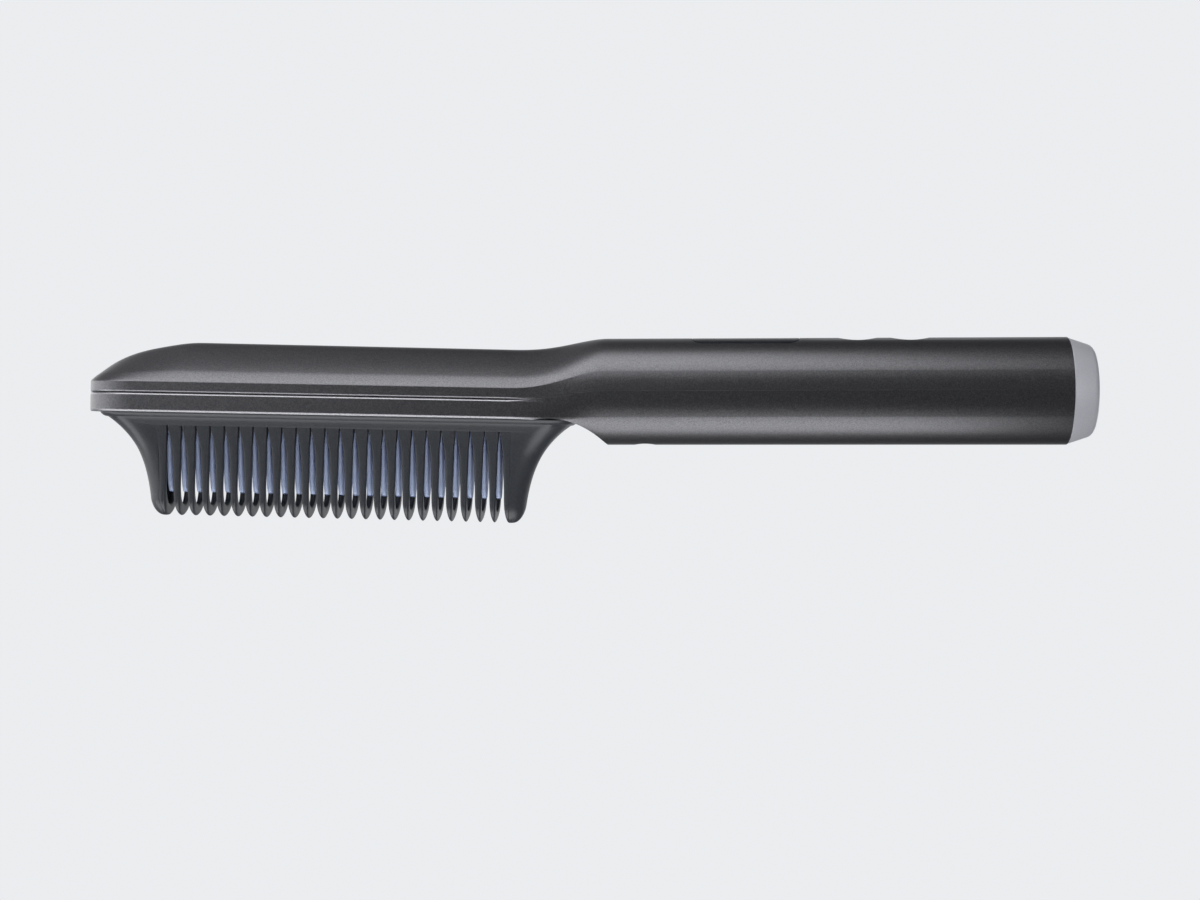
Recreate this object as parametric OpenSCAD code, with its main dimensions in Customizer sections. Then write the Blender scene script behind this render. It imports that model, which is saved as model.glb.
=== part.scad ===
// Heated straightening comb: a round grip, a flat head, and a row of guarded heated fins.
// +X runs along the grip to the cord end, +Z is up, the comb's loops hang down.
// The origin lies on the grip's axis, in the plane of the end ring's flat face.

/* [Grip] */
// Outside diameter of the round grip
grip_d = 30.6; // [29:0.2:33]
// Length of the round grip, from the neck to the end ring
grip_length = 130.4; // [130:0.2:150]
// Wall of the upper and lower covers
cover_wall = 2.2; // [1.8:0.1:2.4]
// Open line between the upper and the lower cover
seam_gap = 0.2; // [0.1:0.05:0.3]

/* [Neck and head] */
// Length of the neck that joins the grip to the head
neck_length = 28; // [26:0.5:34]
// Reach of the nose beyond the loop nearest to it
nose_reach = 23.7; // [23.2:0.1:28]
// Half of the head's width
head_half = 15; // [14.6:0.1:16]
// Angle between the head's lines and the grip's axis
head_tilt = 1.2; // [0:0.1:2]
// Height of the seam in the head
seam_z = -2.35; // [-2.8:0.05:-2]
// Height of the vertical side band above the seam
upper_band = 3.4; // [3:0.1:4]
// Height of the vertical side band below the seam
lower_band = 5.35; // [5.2:0.05:6]
// Height of the crown above the side band, where the nose curve ends
crown_height = 11.2; // [10:0.1:13]
// Drop of the crown from there to the neck
crown_drop = 0.45; // [0:0.05:1]
// Length of the rising nose curve, seen from the side
nose_curve = 29.5; // [26:0.5:34]
// Length of the rounded nose, seen from above
nose_round = 16; // [14:0.5:18]
// Radius of the scoop cut under the neck
scoop_r = 21; // [18:0.5:24]

/* [Guard comb] */
// Number of guard loops
loop_count = 25; // [21:1:27]
// Distance from one loop to the next
loop_pitch = 4.2; // [4:0.05:4.5]
// Depth of the guard below its lip
guard_depth = 28.8; // [27:0.2:31]
// Visible thickness of the guard's lip
lip_height = 1.4; // [1:0.1:2]
// Half width of the guard just below its lip
guard_top_half = 9.6; // [9.2:0.1:10]
// Half width of the guard's loops near their tips
guard_tip_half = 5.6; // [5.2:0.1:6]
// Thickness of a loop's leg
leg_thickness = 2.2; // [1.8:0.1:2.4]
// Width of a slot at its root
slot_root = 0.9; // [0.8:0.1:1.2]
// Width of a slot near the tips
slot_mouth = 2.3; // [2:0.1:2.5]

/* [Heater] */
// Thickness of a heated fin
fin_thickness = 1.4; // [1:0.1:1.6]
// Side step of the fins towards the slots, so that hair touches them
fin_step = 1.1; // [0.8:0.1:1.2]
// Gap between the fins' tips and the bottoms of the loops
fin_tip_gap = 3.4; // [3:0.2:7]
// Thickness of the heater comb's base plate
plate_thickness = 2.5; // [2:0.1:2.8]
// Thickness of the heater bar with its wrap
heater_thickness = 2.6; // [2.4:0.1:3]
// Width of the heater bar with its wrap
heater_width = 12; // [10:0.2:12.4]

/* [Display and buttons] */
// Length of the display lens
lens_length = 30.8; // [28:0.2:32]
// Width of the display lens
lens_width = 15; // [13:0.2:15.4]
// Corner radius of the display lens
lens_corner = 4; // [3:0.5:5]
// Thickness of the display lens
lens_thickness = 1.3; // [1:0.1:1.5]
// Middle of the display lens, from the end face
lens_at = 98.4; // [97:0.2:99]
// Middle of the power button, from the end face
power_at = 66.6; // [65.6:0.2:69]
// Middle of the temperature button, from the end face
temperature_at = 51.7; // [50.1:0.2:53.5]
// Length of the finger dish over each button
dish_length = 11.5; // [10:0.5:12]
// Depth of the finger dish
dish_depth = 0.9; // [0.6:0.05:1]
// Diameter of a button cap
button_d = 9.4; // [8.4:0.2:9.8]
// Travel of a button
button_travel = 0.4; // [0.2:0.05:0.5]

/* [Cord end] */
// Length of the end ring
ring_length = 7.6; // [6.8:0.1:9]
// Diameter of the end ring's flat end
ring_end_d = 25.4; // [25:0.2:27]
// Corner radius of the ring's end
ring_corner = 1.8; // [1:0.1:2]
// Bore of the swivel gland that takes the cord
cord_bore_d = 6.6; // [5.6:0.1:7]
// Outside diameter of the swivel gland's tube
gland_d = 12; // [11:0.1:12.4]
// Running clearance between the gland and its bearing
gland_clearance = 0.08; // [0.05:0.01:0.1]

/* [Hidden] */
$fn = 64;

far = 400;            // longer than the comb, for half-space cuts
cut = 1;              // how far a cutter runs past the face it cuts
fit = 0.15;           // clearance of fixed pieces that drop into one another
pilot_gap = 0.05;     // radial gap of a screw in its pilot hole
screw_gap = 0.2;      // radial gap of a screw in a through hole

// Stations along X and the grip's radii
x_ring = -ring_length;
x_grip = x_ring - grip_length;
x_neck = x_grip - neck_length;
grip_r = grip_d / 2;
grip_ri = grip_r - cover_wall;
rib_r = grip_r - cover_wall / 2; // posts and bosses end inside the cover's wall

// Head: lengths and heights in its own tilted frame
row_start = 0.1;      // from the neck's start to the loop nearest to it
row_half = (loop_count - 1) / 2 * loop_pitch;
head_length = 2 * row_half + row_start + nose_reach;
crease_z = seam_z + upper_band;
base_z = seam_z - lower_band;
floor_t = 1.8;        // floor of the head, around the guard's window
floor_top = base_z + floor_t;
lip_z = base_z - lip_height;
crease_angle = 21;    // where the side band's crease runs out on the round grip
base_angle = -30;     // where the band's lower edge runs out on the round grip
nose_power = 2.4;     // squareness of the nose in plan
nose_linear = 0.5;    // straight share of the nose curve, seen from the side
nose_angles = [12:13:77]; // plan angles of the rings round the nose
nose_rings = [20, 24.5];  // rings between the nose's plan curve and its side curve
band_steps = 2;       // facets of the side band, from the seam to the crease
crown_steps = 9;      // facets of the crown, from the crease to the top
crown_round = 0.35;   // share of the half width over which the crown's top is rounded
neck_steps = 9;       // rings along the neck
neck_ease = 0.02;     // how far the neck's last rings stand inside the grip's surface
neck_root = 1;        // reach of the neck into the grip
scoop_wall = 1.7;     // wall over the scoop
scoop_from = [x_grip - 0.1, -grip_r]; // the scoop's arc, from the grip's lower corner
scoop_to = [x_neck + neck_length / 2, base_z - 0.3];
scoop_chord = norm(scoop_from - scoop_to);
scoop_rise = sqrt(scoop_r * scoop_r - scoop_chord * scoop_chord / 4);
scoop_centre = (scoop_from + scoop_to) / 2 + scoop_rise / scoop_chord
    * [scoop_from[1] - scoop_to[1], scoop_to[0] - scoop_from[0]];

// Guard comb
flare_depth = 10;     // depth over which the guard's flare fades
end_flare = 13.5;     // how far each end wall draws in towards the tips
end_top = 17.1;       // reach of the end wall's top beyond the last loop
end_tip = 1.1;        // reach of the end wall's tip beyond the last loop
guard_corner = 7;     // corner radius of the guard's rings
tip_half = 0.9;       // half width of the flat under the loops
tip_round = 5.2;      // height of the rounded bottom of the loops
tip_wall = 3.4;       // thickness of a loop's bottom
slot_top = 2.3;       // depth of the slots' roots below the lip
slot_straight = 20;   // depth at which a loop starts to narrow to its tip
slot_edge = 0.1;      // half of the edge left at a loop's tip
room_end = 2.2;       // reach of the room inside the loops beyond the last loop
room_bottom = guard_depth - tip_wall;
lip_half_l = row_half + 18.9;
lip_half_w = head_half - 3;
lip_corner = 8;
collar_half_l = lip_half_l - 3.8; // the guard's collar, inside the floor's window
collar_half_w = lip_half_w - 1.8;
collar_corner = 6;
pocket_half_l = row_half + 4.4;   // pocket for the heater comb's plate
pocket_half_w = collar_half_w - 1.6;
pocket_corner = 2;

// Heater stack and its frame. A screw is [shank radius, head radius, head height, length].
fin_root = 0.9;       // how far the fins' roots reach up past the guard's lip
fin_side_gap = 0.9;   // gap between a fin's edge and the loop's leg
fin_depth = room_bottom - fin_tip_gap;
fin_taper = 7.5;      // length of a fin's tapered tip
fin_blunt = 0.25;     // share of the fin's width that is left at its tip
plate_z = lip_z + 0.5;
plate_top = plate_z + plate_thickness;
heater_top = plate_top + heater_thickness;
clamp_t = 1;
clamp_half_w = 7.5;
clamp_top = heater_top + clamp_t;
clamp_screw = [1, 1.8, 1.1, 4.2];
clamp_screw_x = row_half - 2.5;
clamp_screw_y = 4.5;
post_r = 1.9;
heater_end_gap = 4;   // from the heater bar to the posts beyond its ends
heater_length = 2 * (clamp_screw_x - post_r - heater_end_gap);
wrap_t = 0.25;
fuse_r = 1.1;
fuse_length = 10;
thermistor_r = 0.9;
thermistor_length = 4;
sensor_gap = 0.1;     // from the heater's side to the fuse and the thermistor
collar_top = clamp_top - 0.5;
frame_half_l = collar_half_l + 1.5;
frame_half_w = collar_half_w + 1.4;
frame_corner = collar_corner + 1;
shelf_end = frame_half_l - row_half - row_start + 2.5; // end of the floor under the frame
frame_roof = clamp_top + clamp_screw[2] + 0.8;
frame_top = frame_roof + 1.4;
frame_boss_r = 2.4;
frame_screw = [1.1, 2.1, 1.4, 8.2];
frame_screw_x = row_half + 8.9;
frame_screw_y = 5;
frame_notch = 4.5;    // half width of the notch that the heater's wires leave through
wire_r = 0.6;
wire_over = 0.25;     // gap between the wires and the collar they pass over

// Cord end, worked out from the ring inwards
ring_open_r = ring_end_d / 2 - 2.9;
ring_lip = 3;
ring_bore_r = ring_open_r + 1.4;
ring_shoulder = 0.15; // how far the ring's rim stands in from the grip
spigot_x = x_ring - 4.4;
spigot_r = grip_ri - 0.2;
cap_face = -1;        // end cap's face, set back from the ring's flat face
cap_flange = 3;
gland_r = gland_d / 2;
cap_tube_r = gland_r + 2.2;
bearing_end = x_ring - 9;
gland_flange_r = gland_r + 1.3;
gland_flange_t = 0.8;
clip_t = 0.8;
clip_x = bearing_end - 0.2;
clip_r = gland_r + 1.4;
groove_r = gland_r - 0.7;
groove_gap = 0.1;
gland_end = clip_x - clip_t - 1.9;
stub_r = gland_r - 1.8;
stub_bore_r = 2.2;
cord_bore_depth = 14;
slip_half = 1;
slip_r = stub_r + 1;
slip_x = [gland_end - 2.5, gland_end - 6.5];
stub_end = slip_x[1] - 2;
block_r = spigot_r - 2.1;
block_wall_x = slip_x[1] - 3;     // inside of the contact block's end wall
block_x0 = block_wall_x - 1.5;
block_x1 = gland_end - 0.3;
pin_r = 0.8;
pin_gap = 0.1;        // from a contact pin's tip to its slip ring

// Housing screw near the neck
housing_screw_at = x_grip + 10.5;
housing_screw = [1, 2.6, 2, 14];
boss_r = 4.2;
plug_r = 3;
plug_sink = 0.3;      // how far the plug's face lies inside the grip's surface
plug_top = 2.8 - grip_r;
seat_z = 6.3 - grip_r;

// Lens, display module and control board
lens_ri = grip_r - lens_thickness;
lens_seat_gap = 0.1;
window_l = lens_length - 4.8;
window_w = lens_width - 4;
window_corner = 3;
gasket_gap = 0.3;     // from the gasket to the window's edge
gasket_w = 1.9;
module_half_l = window_l / 2 + 1;
module_half_w = window_w / 2 + 0.8;
module_h = 7.6;
module_top = sqrt(grip_ri * grip_ri - module_half_w * module_half_w) - 0.3;
board_top = module_top - module_h;
board_t = 1.6;
board_under = board_top - board_t;
board_half_w = grip_ri - 3.1;
board_screw = [0.9, 2, 1.2, 5.5];
board_edge = 4;       // from a board screw to the board's end
board_screw_x = [-lens_at - lens_length / 2 - 4.2, block_x0 - 11.5];
board_screw_y = board_half_w - 2.5;
board_x0 = board_screw_x[0] - board_edge;
board_x1 = board_screw_x[1] + board_edge;
board_post_r = 2.4;

// Parts on the control board. A chip is [length, width, height].
film_capacitor = [14, 7, 9];
film_capacitor_x = -lens_at - 6.6;
can_r = 4;
can_length = 14;
can_x = -lens_at + 6.4;
power_chip = [11, 10, 4.6];
choke_r = 4.5;
choke_h = 8;
controller = [7.6, 9, 1.4];
controller_x = -power_at - 8.8;

// Buttons and switches
dish_r = (dish_length * dish_length / 4 + dish_depth * dish_depth) / (2 * dish_depth);
button_gap = 0.2;
flange_t = 1;
flange_r = button_d / 2 + 1.2;
flange_z = sqrt(grip_ri * grip_ri - flange_r * flange_r) - 0.3 - flange_t;
stem_r = 1.6;
switch_half = 3.1;
switch_top = board_top + 3.5;
well_z = board_top + 2.2; // bottom of the switch's well, where the plunger runs
plunger_r = 1.7;
plunger_gap = 0.1;
plunger_top = flange_z - 1.6;

// ---------- plain helpers ----------
function lerp(a, b, t) = a + (b - a) * t;
function clamp01(t) = max(0, min(1, t));
function smooth(t) = t * t * (3 - 2 * t);

// Turns from the head's shape to the round grip, 0 at the neck's start and 1 at its end
function neck_t(lx) = smooth(pow(clamp01(lx / neck_length), 1.3));

// Half width of the head at a distance s behind the nose, for a skin set in by inset
function plan_half(s, inset) =
    let (q = clamp01((s - inset) / (nose_round - inset)))
    (head_half - inset) * pow(1 - pow(1 - q, nose_power), 1 / nose_power);

// Height of the crown over the crease at a distance s behind the nose
function crown(s, inset) =
    let (q = clamp01((s - inset) / nose_curve),
        rise = nose_linear * q + (1 - nose_linear) * (1 - pow(1 - q, 3)))
    (crown_height - inset) * rise
        - crown_drop * clamp01((s - nose_curve) / (head_length - nose_curve));

// Drop of the crown's section below its top, 0 in the middle and 1 at the crease: straight
// shoulders under a rounded top
function shoulder(u) =
    (norm([u, crown_round]) - crown_round) / (norm([1, crown_round]) - crown_round);

// A point in the head's tilted frame
function from_head(x, y, z) = [x_neck + x * cos(head_tilt) + z * sin(head_tilt), y,
    -x * sin(head_tilt) + z * cos(head_tilt)];

// A ring's point, p = [y, z] in the head and [y, z] on the grip: part way from one to the other
function on_grip(lx, p) =
    let (t = neck_t(lx), h = from_head(lx, p[0], p[1]), g = [x_neck + lx, p[2], p[3]])
    h + (g - h) * t;

// The side points, mirrored into a whole ring whose last point is the only one at y = 0
function whole_ring(lx, side, sy) =
    concat([for (p = side) on_grip(lx, [sy * p[0], p[1], sy * p[2], p[3]])],
        [for (i = [len(side) - 2:-1:0]) let (p = side[i])
            on_grip(lx, [-sy * p[0], p[1], -sy * p[2], p[3]])]);

// Side band's points, from height z0 in the head and on the grip to the angle where it ends
function band(w, r, z0, z1, end_angle) =
    let (start_angle = asin((z0 - seam_z) / r))
    [for (k = [0:band_steps - 1]) let (c = lerp(start_angle, end_angle, k / band_steps))
        [w, lerp(z0, z1, k / band_steps), r * cos(c), r * sin(c)]];

// Ring of the upper cover at lx, set in by inset, reaching drop below the seam
function upper_ring(lx, inset, drop) =
    let (s = lx + head_length, w = plan_half(s, inset), h = crown(s, inset),
        r = grip_r - inset - neck_ease)
    whole_ring(lx, concat(band(w, r, seam_z + seam_gap / 2 - drop, crease_z, crease_angle),
        [for (j = [0:crown_steps]) let (a = 90 * j / crown_steps,
            c = lerp(crease_angle, 90, j / crown_steps))
            [w * cos(a), crease_z + h * (1 - shoulder(cos(a))), r * cos(c), r * sin(c)]]), 1);

// Ring of the lower cover at lx, with its bottom at bottom_z in the head
function lower_ring(lx, inset, rise, bottom_z) =
    let (w = plan_half(lx + head_length, inset), r = grip_r - inset - neck_ease)
    whole_ring(lx, concat(band(w, r, seam_z - seam_gap / 2 + rise, bottom_z, base_angle),
        [for (j = [0:crown_steps]) let (a = 90 * j / crown_steps,
            c = lerp(base_angle, -90, j / crown_steps))
            [w * cos(a), bottom_z, r * cos(c), r * sin(c)]]), -1);

// Height of the lower cover's inner floor: flat under the heater frame, then over the scoop
function floor_z(x) =
    let (over = pow(scoop_r + scoop_wall, 2) - pow(x - scoop_centre[0], 2),
        flat = floor_top * cos(head_tilt)
            - (x - x_neck - floor_top * sin(head_tilt)) * tan(head_tilt))
    max(x < x_neck + shelf_end ? flat : -far, over > 0 ? scoop_centre[1] + sqrt(over) : -far);

// Ring of the space inside the lower cover
function inner_ring(lx) =
    [for (p = lower_ring(lx, cover_wall, cut, floor_top)) [p[0], p[1], max(p[2], floor_z(p[0]))]];

// Distance behind the nose of the ring at a plan angle
function nose_station(a, inset) =
    inset + (nose_round - inset) * (1 - pow(cos(a), 2 / nose_power));

// Stations of the rings, from the nose to the end of the neck
function stations(inset) = concat(
    [-head_length + lerp(inset, nose_station(nose_angles[0], inset), 0.5)],
    [for (a = nose_angles) -head_length + nose_station(a, inset)],
    [for (s = concat([nose_round], nose_rings, [nose_curve])) -head_length + s],
    [for (i = [0:neck_steps]) neck_length * i / neck_steps],
    [neck_length + neck_root]);

// Solid through a list of rings, each counter-clockwise as seen from the last one
module loft(rings) {
    n = len(rings[0]);
    m = len(rings);
    sides = [for (j = [0:m - 2]) for (i = [0:n - 1]) let (k = (i + 1) % n,
        a = j * n + i, b = j * n + k, c = a + n, d = b + n) each [[a, c, d], [a, d, b]]];
    first = [for (i = [0:n - 1]) i];
    last = [for (i = [n - 1:-1:0]) (m - 1) * n + i];
    polyhedron(points = [for (r = rings) each r], faces = concat([first], sides, [last]));
}

// Places its children in the head's tilted frame, whose origin is at the neck's start
module in_head() {
    translate([x_neck, 0, 0]) rotate([0, head_tilt, 0]) children();
}

// Places its children in the middle of the row of loops
module in_row() {
    in_head() translate([-row_half - row_start, 0, 0]) children();
}

// Repeats its children at the four corners of a rectangle
module at_corners(x, y) {
    for (sx = [-1, 1], sy = [-1, 1]) translate([sx * x, sy * y, 0]) children();
}

// Repeats its children at the control board's screws
module at_board_screws() {
    for (x = board_screw_x, sy = [-1, 1]) translate([x, sy * board_screw_y, 0]) children();
}

// Rounded rectangle about the origin
module rounded_plan(half_l, half_w, r) {
    square([2 * (half_l - r), 2 * half_w], center = true);
    square([2 * half_l, 2 * (half_w - r)], center = true);
    at_corners(half_l - r, half_w - r) circle(r);
}

// Slab of a rounded rectangle between two heights
module slab(half_l, half_w, r, z0, z1) {
    translate([0, 0, z0]) linear_extrude(z1 - z0) rounded_plan(half_l, half_w, r);
}

// Cylinder along X between two stations
module rod_x(r, x0, x1) {
    translate([x0, 0, 0]) rotate([0, 90, 0]) cylinder(r = r, h = x1 - x0);
}

// Cylinder along Z between two heights
module rod_z(r, z0, z1) {
    translate([0, 0, z0]) cylinder(r = r, h = z1 - z0);
}

// Box between two corners
module block(a, b) {
    translate(a) cube(b - a);
}

// Keeps its children inside a radius about the grip's axis
module inside_grip(r) {
    intersection() {
        children();
        rod_x(r, x_grip, x_ring);
    }
}

// Pan-head screw, standing on its seat at the origin, shank down, with a cross recess
module screw(size) {
    head_r = size[1];
    head_h = size[2];
    recess_w = 0.6;
    rod_z(size[0], -size[3], 0.01);
    difference() {
        rod_z(head_r, 0, head_h);
        for (a = [0, 90]) rotate([0, 0, a])
            translate([0, 0, head_h]) cube([head_r * 1.3, recess_w, head_h], center = true);
    }
}

// ---------- covers ----------
module scoop() {
    translate([scoop_centre[0], 0, scoop_centre[1]]) rotate([90, 0, 0])
        cylinder(r = scoop_r, h = 4 * grip_r, center = true);
}

module finger_dish(at) {
    translate([-at, 0, grip_r - dish_depth + dish_r]) rotate([90, 0, 0])
        cylinder(r = dish_r, h = 3 * grip_r, center = true);
}

module lens_plan(gap) {
    translate([-lens_at, 0, 0])
        slab(lens_length / 2 + gap, lens_width / 2 + gap, lens_corner + gap, 0, 2 * grip_r);
}

module upper_cover() {
    color("dimgray") {
        difference() {
            union() {
                loft([for (lx = stations(0)) upper_ring(lx, 0, 0)]);
                difference() {
                    rod_x(grip_r, x_grip, x_ring);
                    block([x_grip - cut, -far, -far], [0, far, seam_gap / 2]);
                }
            }
            loft([for (lx = stations(cover_wall)) upper_ring(lx, cover_wall, cut)]);
            rod_x(grip_ri, x_grip, x_ring + cut);
            difference() {
                lens_plan(lens_seat_gap);
                rod_x(lens_ri - lens_seat_gap, x_grip, 0);
            }
            translate([-lens_at, 0, 0])
                slab(window_l / 2, window_w / 2, window_corner, 0, 2 * grip_r);
            for (at = [power_at, temperature_at]) {
                finger_dish(at);
                translate([-at, 0, 0]) rod_z(button_d / 2 + button_gap, 0, 2 * grip_r);
            }
        }
        // posts for the control board and the boss for the housing screw
        inside_grip(rib_r) {
            at_board_screws() difference() {
                rod_z(board_post_r, board_top, grip_r);
                rod_z(board_screw[0] + pilot_gap, board_top - cut, board_top + board_screw[3]);
            }
        }
        inside_grip(rib_r) translate([housing_screw_at, 0, 0]) difference() {
            rod_z(boss_r, seam_gap, grip_r);
            rod_z(housing_screw[0] + pilot_gap, -cut, seat_z + housing_screw[3] + cut);
        }
    }
}

module lower_cover() {
    color("dimgray") {
        difference() {
            union() {
                loft([for (lx = stations(0)) lower_ring(lx, 0, 0, base_z)]);
                difference() {
                    rod_x(grip_r, x_grip, x_ring);
                    block([x_grip - cut, -far, -seam_gap / 2], [0, far, far]);
                }
            }
            scoop();
            loft([for (lx = stations(cover_wall)) inner_ring(lx)]);
            rod_x(grip_ri, x_grip, x_ring + cut);
            in_row() slab(collar_half_l + fit, collar_half_w + fit, collar_corner,
                base_z - cut, floor_top + cut);
            // room for the guard's lip where the neck dips below the head's base
            intersection() {
                in_row() slab(lip_half_l + fit, lip_half_w + fit, lip_corner,
                    base_z - grip_r, base_z);
                in_head() block([0, -far, -far], [far, far, far]);
            }
            translate([housing_screw_at, 0, 0]) rod_z(plug_r + fit, -2 * grip_r, seat_z);
        }
        inside_grip(rib_r) translate([housing_screw_at, 0, 0]) difference() {
            rod_z(boss_r, -grip_r, -seam_gap);
            rod_z(plug_r + fit, -2 * grip_r, seat_z);
            rod_z(housing_screw[0] + screw_gap, seat_z - cut, 0);
        }
    }
}

// ---------- guard comb ----------
function flare(d) = 1 - exp(-d / flare_depth);

// Rounds off a width over the last height before depth
function tip_factor(d, depth, height) =
    d < depth - height ? 1 : sqrt(max(0, 1 - pow((d - depth + height) / height, 2)));

function side_half(d) = lerp(guard_top_half, guard_tip_half, flare(d) / flare(guard_depth));

function guard_half_l(d) =
    let (wall = row_half + end_top - end_flare * flare(d), tip = row_half + end_tip)
    tip + (wall - tip) * tip_factor(d, guard_depth, tip_round);

function guard_half_w(d) = max(tip_half, side_half(d) * tip_factor(d, guard_depth, tip_round));

// Rounded rectangle at height z, counter-clockwise as seen from above
function plan_ring(half_l, half_w, r, z) =
    [for (q = [0:3]) for (i = [0:4]) let (a = 90 * q + 22.5 * i,
        sx = (q == 0 || q == 3) ? 1 : -1, sy = q < 2 ? 1 : -1)
        [sx * (half_l - r) + r * cos(a), sy * (half_w - r) + r * sin(a), z]];

function guard_ring(d) =
    let (w = guard_half_w(d)) plan_ring(guard_half_l(d), w, min(w * 0.98, guard_corner), lip_z - d);

// Ring of the lip, set in by inset at a height above the lip's lowest plane
function lip_ring(inset, up) = plan_ring(lip_half_l - inset, lip_half_w - inset, lip_corner, lip_z + up);

// Half width of the slot between two loops
function slot_half(d) =
    let (straight = lerp(slot_root, slot_mouth, clamp01(d / slot_straight)) / 2,
        u = clamp01((d - slot_straight) / (guard_depth + 0.15 - slot_straight)))
    loop_pitch / 2 - (loop_pitch / 2 - straight) * sqrt(1 - u * u);

// Outline of one slot, in the XZ plane
module slot_outline() {
    narrowing = guard_depth - slot_straight;
    levels = concat([slot_top + slot_root / 2, 12, slot_straight],
        [for (u = [0.4, 0.68, 0.89, 1]) slot_straight + narrowing * u]);
    right = [for (d = levels) [slot_half(d), lip_z - d]];
    below = lip_z - guard_depth - cut;
    open = loop_pitch / 2 - slot_edge;
    polygon(concat([[-slot_root / 5, lip_z - slot_top], [slot_root / 5, lip_z - slot_top]], right,
        [[open, below], [-open, below]],
        [for (i = [len(right) - 1:-1:0]) [-right[i][0], right[i][1]]]));
}

// Half width of the room inside the loops
function room_half(d) =
    (side_half(d) - leg_thickness) * tip_factor(d, room_bottom, tip_round - leg_thickness);

// Outline mirrored about the Z axis, from its right side's points
module mirrored_outline(right) {
    polygon(concat(right, [for (i = [len(right) - 1:-1:0]) [-right[i][0], right[i][1]]]));
}

module guard_comb() {
    depths = concat([for (up = [0, 0.7, 1.9, 3.4, tip_round]) guard_depth - up],
        [17, 12, 8, 5, 2.5, 1, 0]);
    room_depths = concat([0, 2, 5, 9, 14], [for (up = [3, 1.8, 0.8, 0.15]) room_bottom - up]);
    color([0.16, 0.16, 0.18]) in_row() difference() {
        union() {
            loft(concat([for (d = depths) guard_ring(d)],
                [lip_ring(0.95, 0.05), lip_ring(0.28, 0.5), lip_ring(0, lip_height)]));
            slab(collar_half_l, collar_half_w, collar_corner, base_z - 0.5, collar_top);
        }
        for (i = [0:loop_count - 2])
            translate([(i - loop_count / 2 + 1) * loop_pitch, 0, 0]) rotate([90, 0, 0])
                linear_extrude(4 * grip_r, center = true) slot_outline();
        translate([-row_half - room_end, 0, 0]) rotate([90, 0, 90])
            linear_extrude(2 * (row_half + room_end)) mirrored_outline(concat(
                [[room_half(0), plate_z + cut]], [for (d = room_depths) [room_half(d), lip_z - d]]));
        slab(pocket_half_l, pocket_half_w, pocket_corner, plate_z, collar_top + cut);
        at_corners(frame_screw_x, frame_screw_y)
            rod_z(frame_screw[0] + pilot_gap, lip_z + 0.4, collar_top + cut);
    }
}

// ---------- heater ----------
// Half width of a fin: it follows the room inside the loops and ends in a blunt tip
function fin_half(d) =
    let (u = clamp01((d - fin_depth + fin_taper) / fin_taper))
    (room_half(max(0, d)) - fin_side_gap) * (fin_blunt + (1 - fin_blunt) * sqrt(1 - u * u));

module heater_comb() {
    levels = concat([-fin_root, 0, 4, 8],
        [for (u = [0, 0.35, 0.6, 0.85, 0.96, 1]) fin_depth - fin_taper * (1 - u)]);
    color([0.45, 0.53, 0.7]) in_row() {
        difference() {
            union() {
                slab(pocket_half_l - fit, pocket_half_w - fit, pocket_corner, plate_z, plate_top);
                at_corners(clamp_screw_x, clamp_screw_y) rod_z(post_r, plate_top - 0.5, heater_top);
            }
            at_corners(clamp_screw_x, clamp_screw_y)
                rod_z(clamp_screw[0] + pilot_gap, plate_z + 0.6, heater_top + cut);
        }
        for (i = [0:loop_count - 1])
            translate([i * loop_pitch - row_half + fin_step - fin_thickness / 2, 0, 0])
                rotate([90, 0, 90]) linear_extrude(fin_thickness)
                    mirrored_outline([for (d = levels) [fin_half(d), lip_z - d]]);
    }
}

// Box of the heater bar, set in at its ends and at its faces
module heater_box(end_gap, gap) {
    x = heater_length / 2 - end_gap;
    y = heater_width / 2 - gap;
    block([-x, -y, plate_top + gap], [x, y, heater_top - gap]);
}

module ptc_heater() {
    color("lightgray") in_row() heater_box(0.3, wrap_t + 0.05);
}

module insulating_wrap() {
    color("goldenrod") in_row() difference() {
        heater_box(0, 0);
        heater_box(-cut, wrap_t);
    }
}

module clamp_plate() {
    color("silver") in_row() difference() {
        slab(row_half + 0.1, clamp_half_w, 2, heater_top, clamp_top);
        at_corners(clamp_screw_x, clamp_screw_y)
            rod_z(clamp_screw[0] + screw_gap, heater_top - cut, clamp_top + cut);
    }
}

module clamp_screws() {
    color("silver") in_row() at_corners(clamp_screw_x, clamp_screw_y)
        translate([0, 0, clamp_top]) screw(clamp_screw);
}

module heater_frame() {
    color([0.3, 0.3, 0.32]) in_row() difference() {
        union() {
            slab(frame_half_l, frame_half_w, frame_corner, frame_roof, frame_top);
            difference() {
                slab(frame_half_l, frame_half_w, frame_corner, floor_top, frame_roof + 0.2);
                slab(collar_half_l + fit, collar_half_w + fit, collar_corner,
                    floor_top - cut, frame_roof);
            }
            at_corners(frame_screw_x, frame_screw_y)
                rod_z(frame_boss_r, collar_top, frame_roof + 0.2);
        }
        at_corners(frame_screw_x, frame_screw_y)
            rod_z(frame_screw[0] + screw_gap, collar_top - cut, frame_top + cut);
        block([frame_half_l - 4, -frame_notch, collar_top + 0.2],
            [frame_half_l + cut, frame_notch, frame_roof]);
    }
}

module frame_screws() {
    color("silver") in_row() at_corners(frame_screw_x, frame_screw_y)
        translate([0, 0, frame_top]) screw(frame_screw);
}

module thermal_fuse() {
    color("silver") in_row()
        translate([0, heater_width / 2 + sensor_gap + fuse_r, plate_top + fuse_r + 0.02])
            rod_x(fuse_r, -fuse_length, 0);
}

module thermistor() {
    color("orange") in_row() translate([0, -heater_width / 2 - sensor_gap - thermistor_r,
        plate_top + thermistor_r + 0.02]) rod_x(thermistor_r, 0, thermistor_length);
}

// ---------- wires ----------
function wire_side(t) = let (s = cross(t, [0, 0, 1])) s / norm(s);

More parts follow.
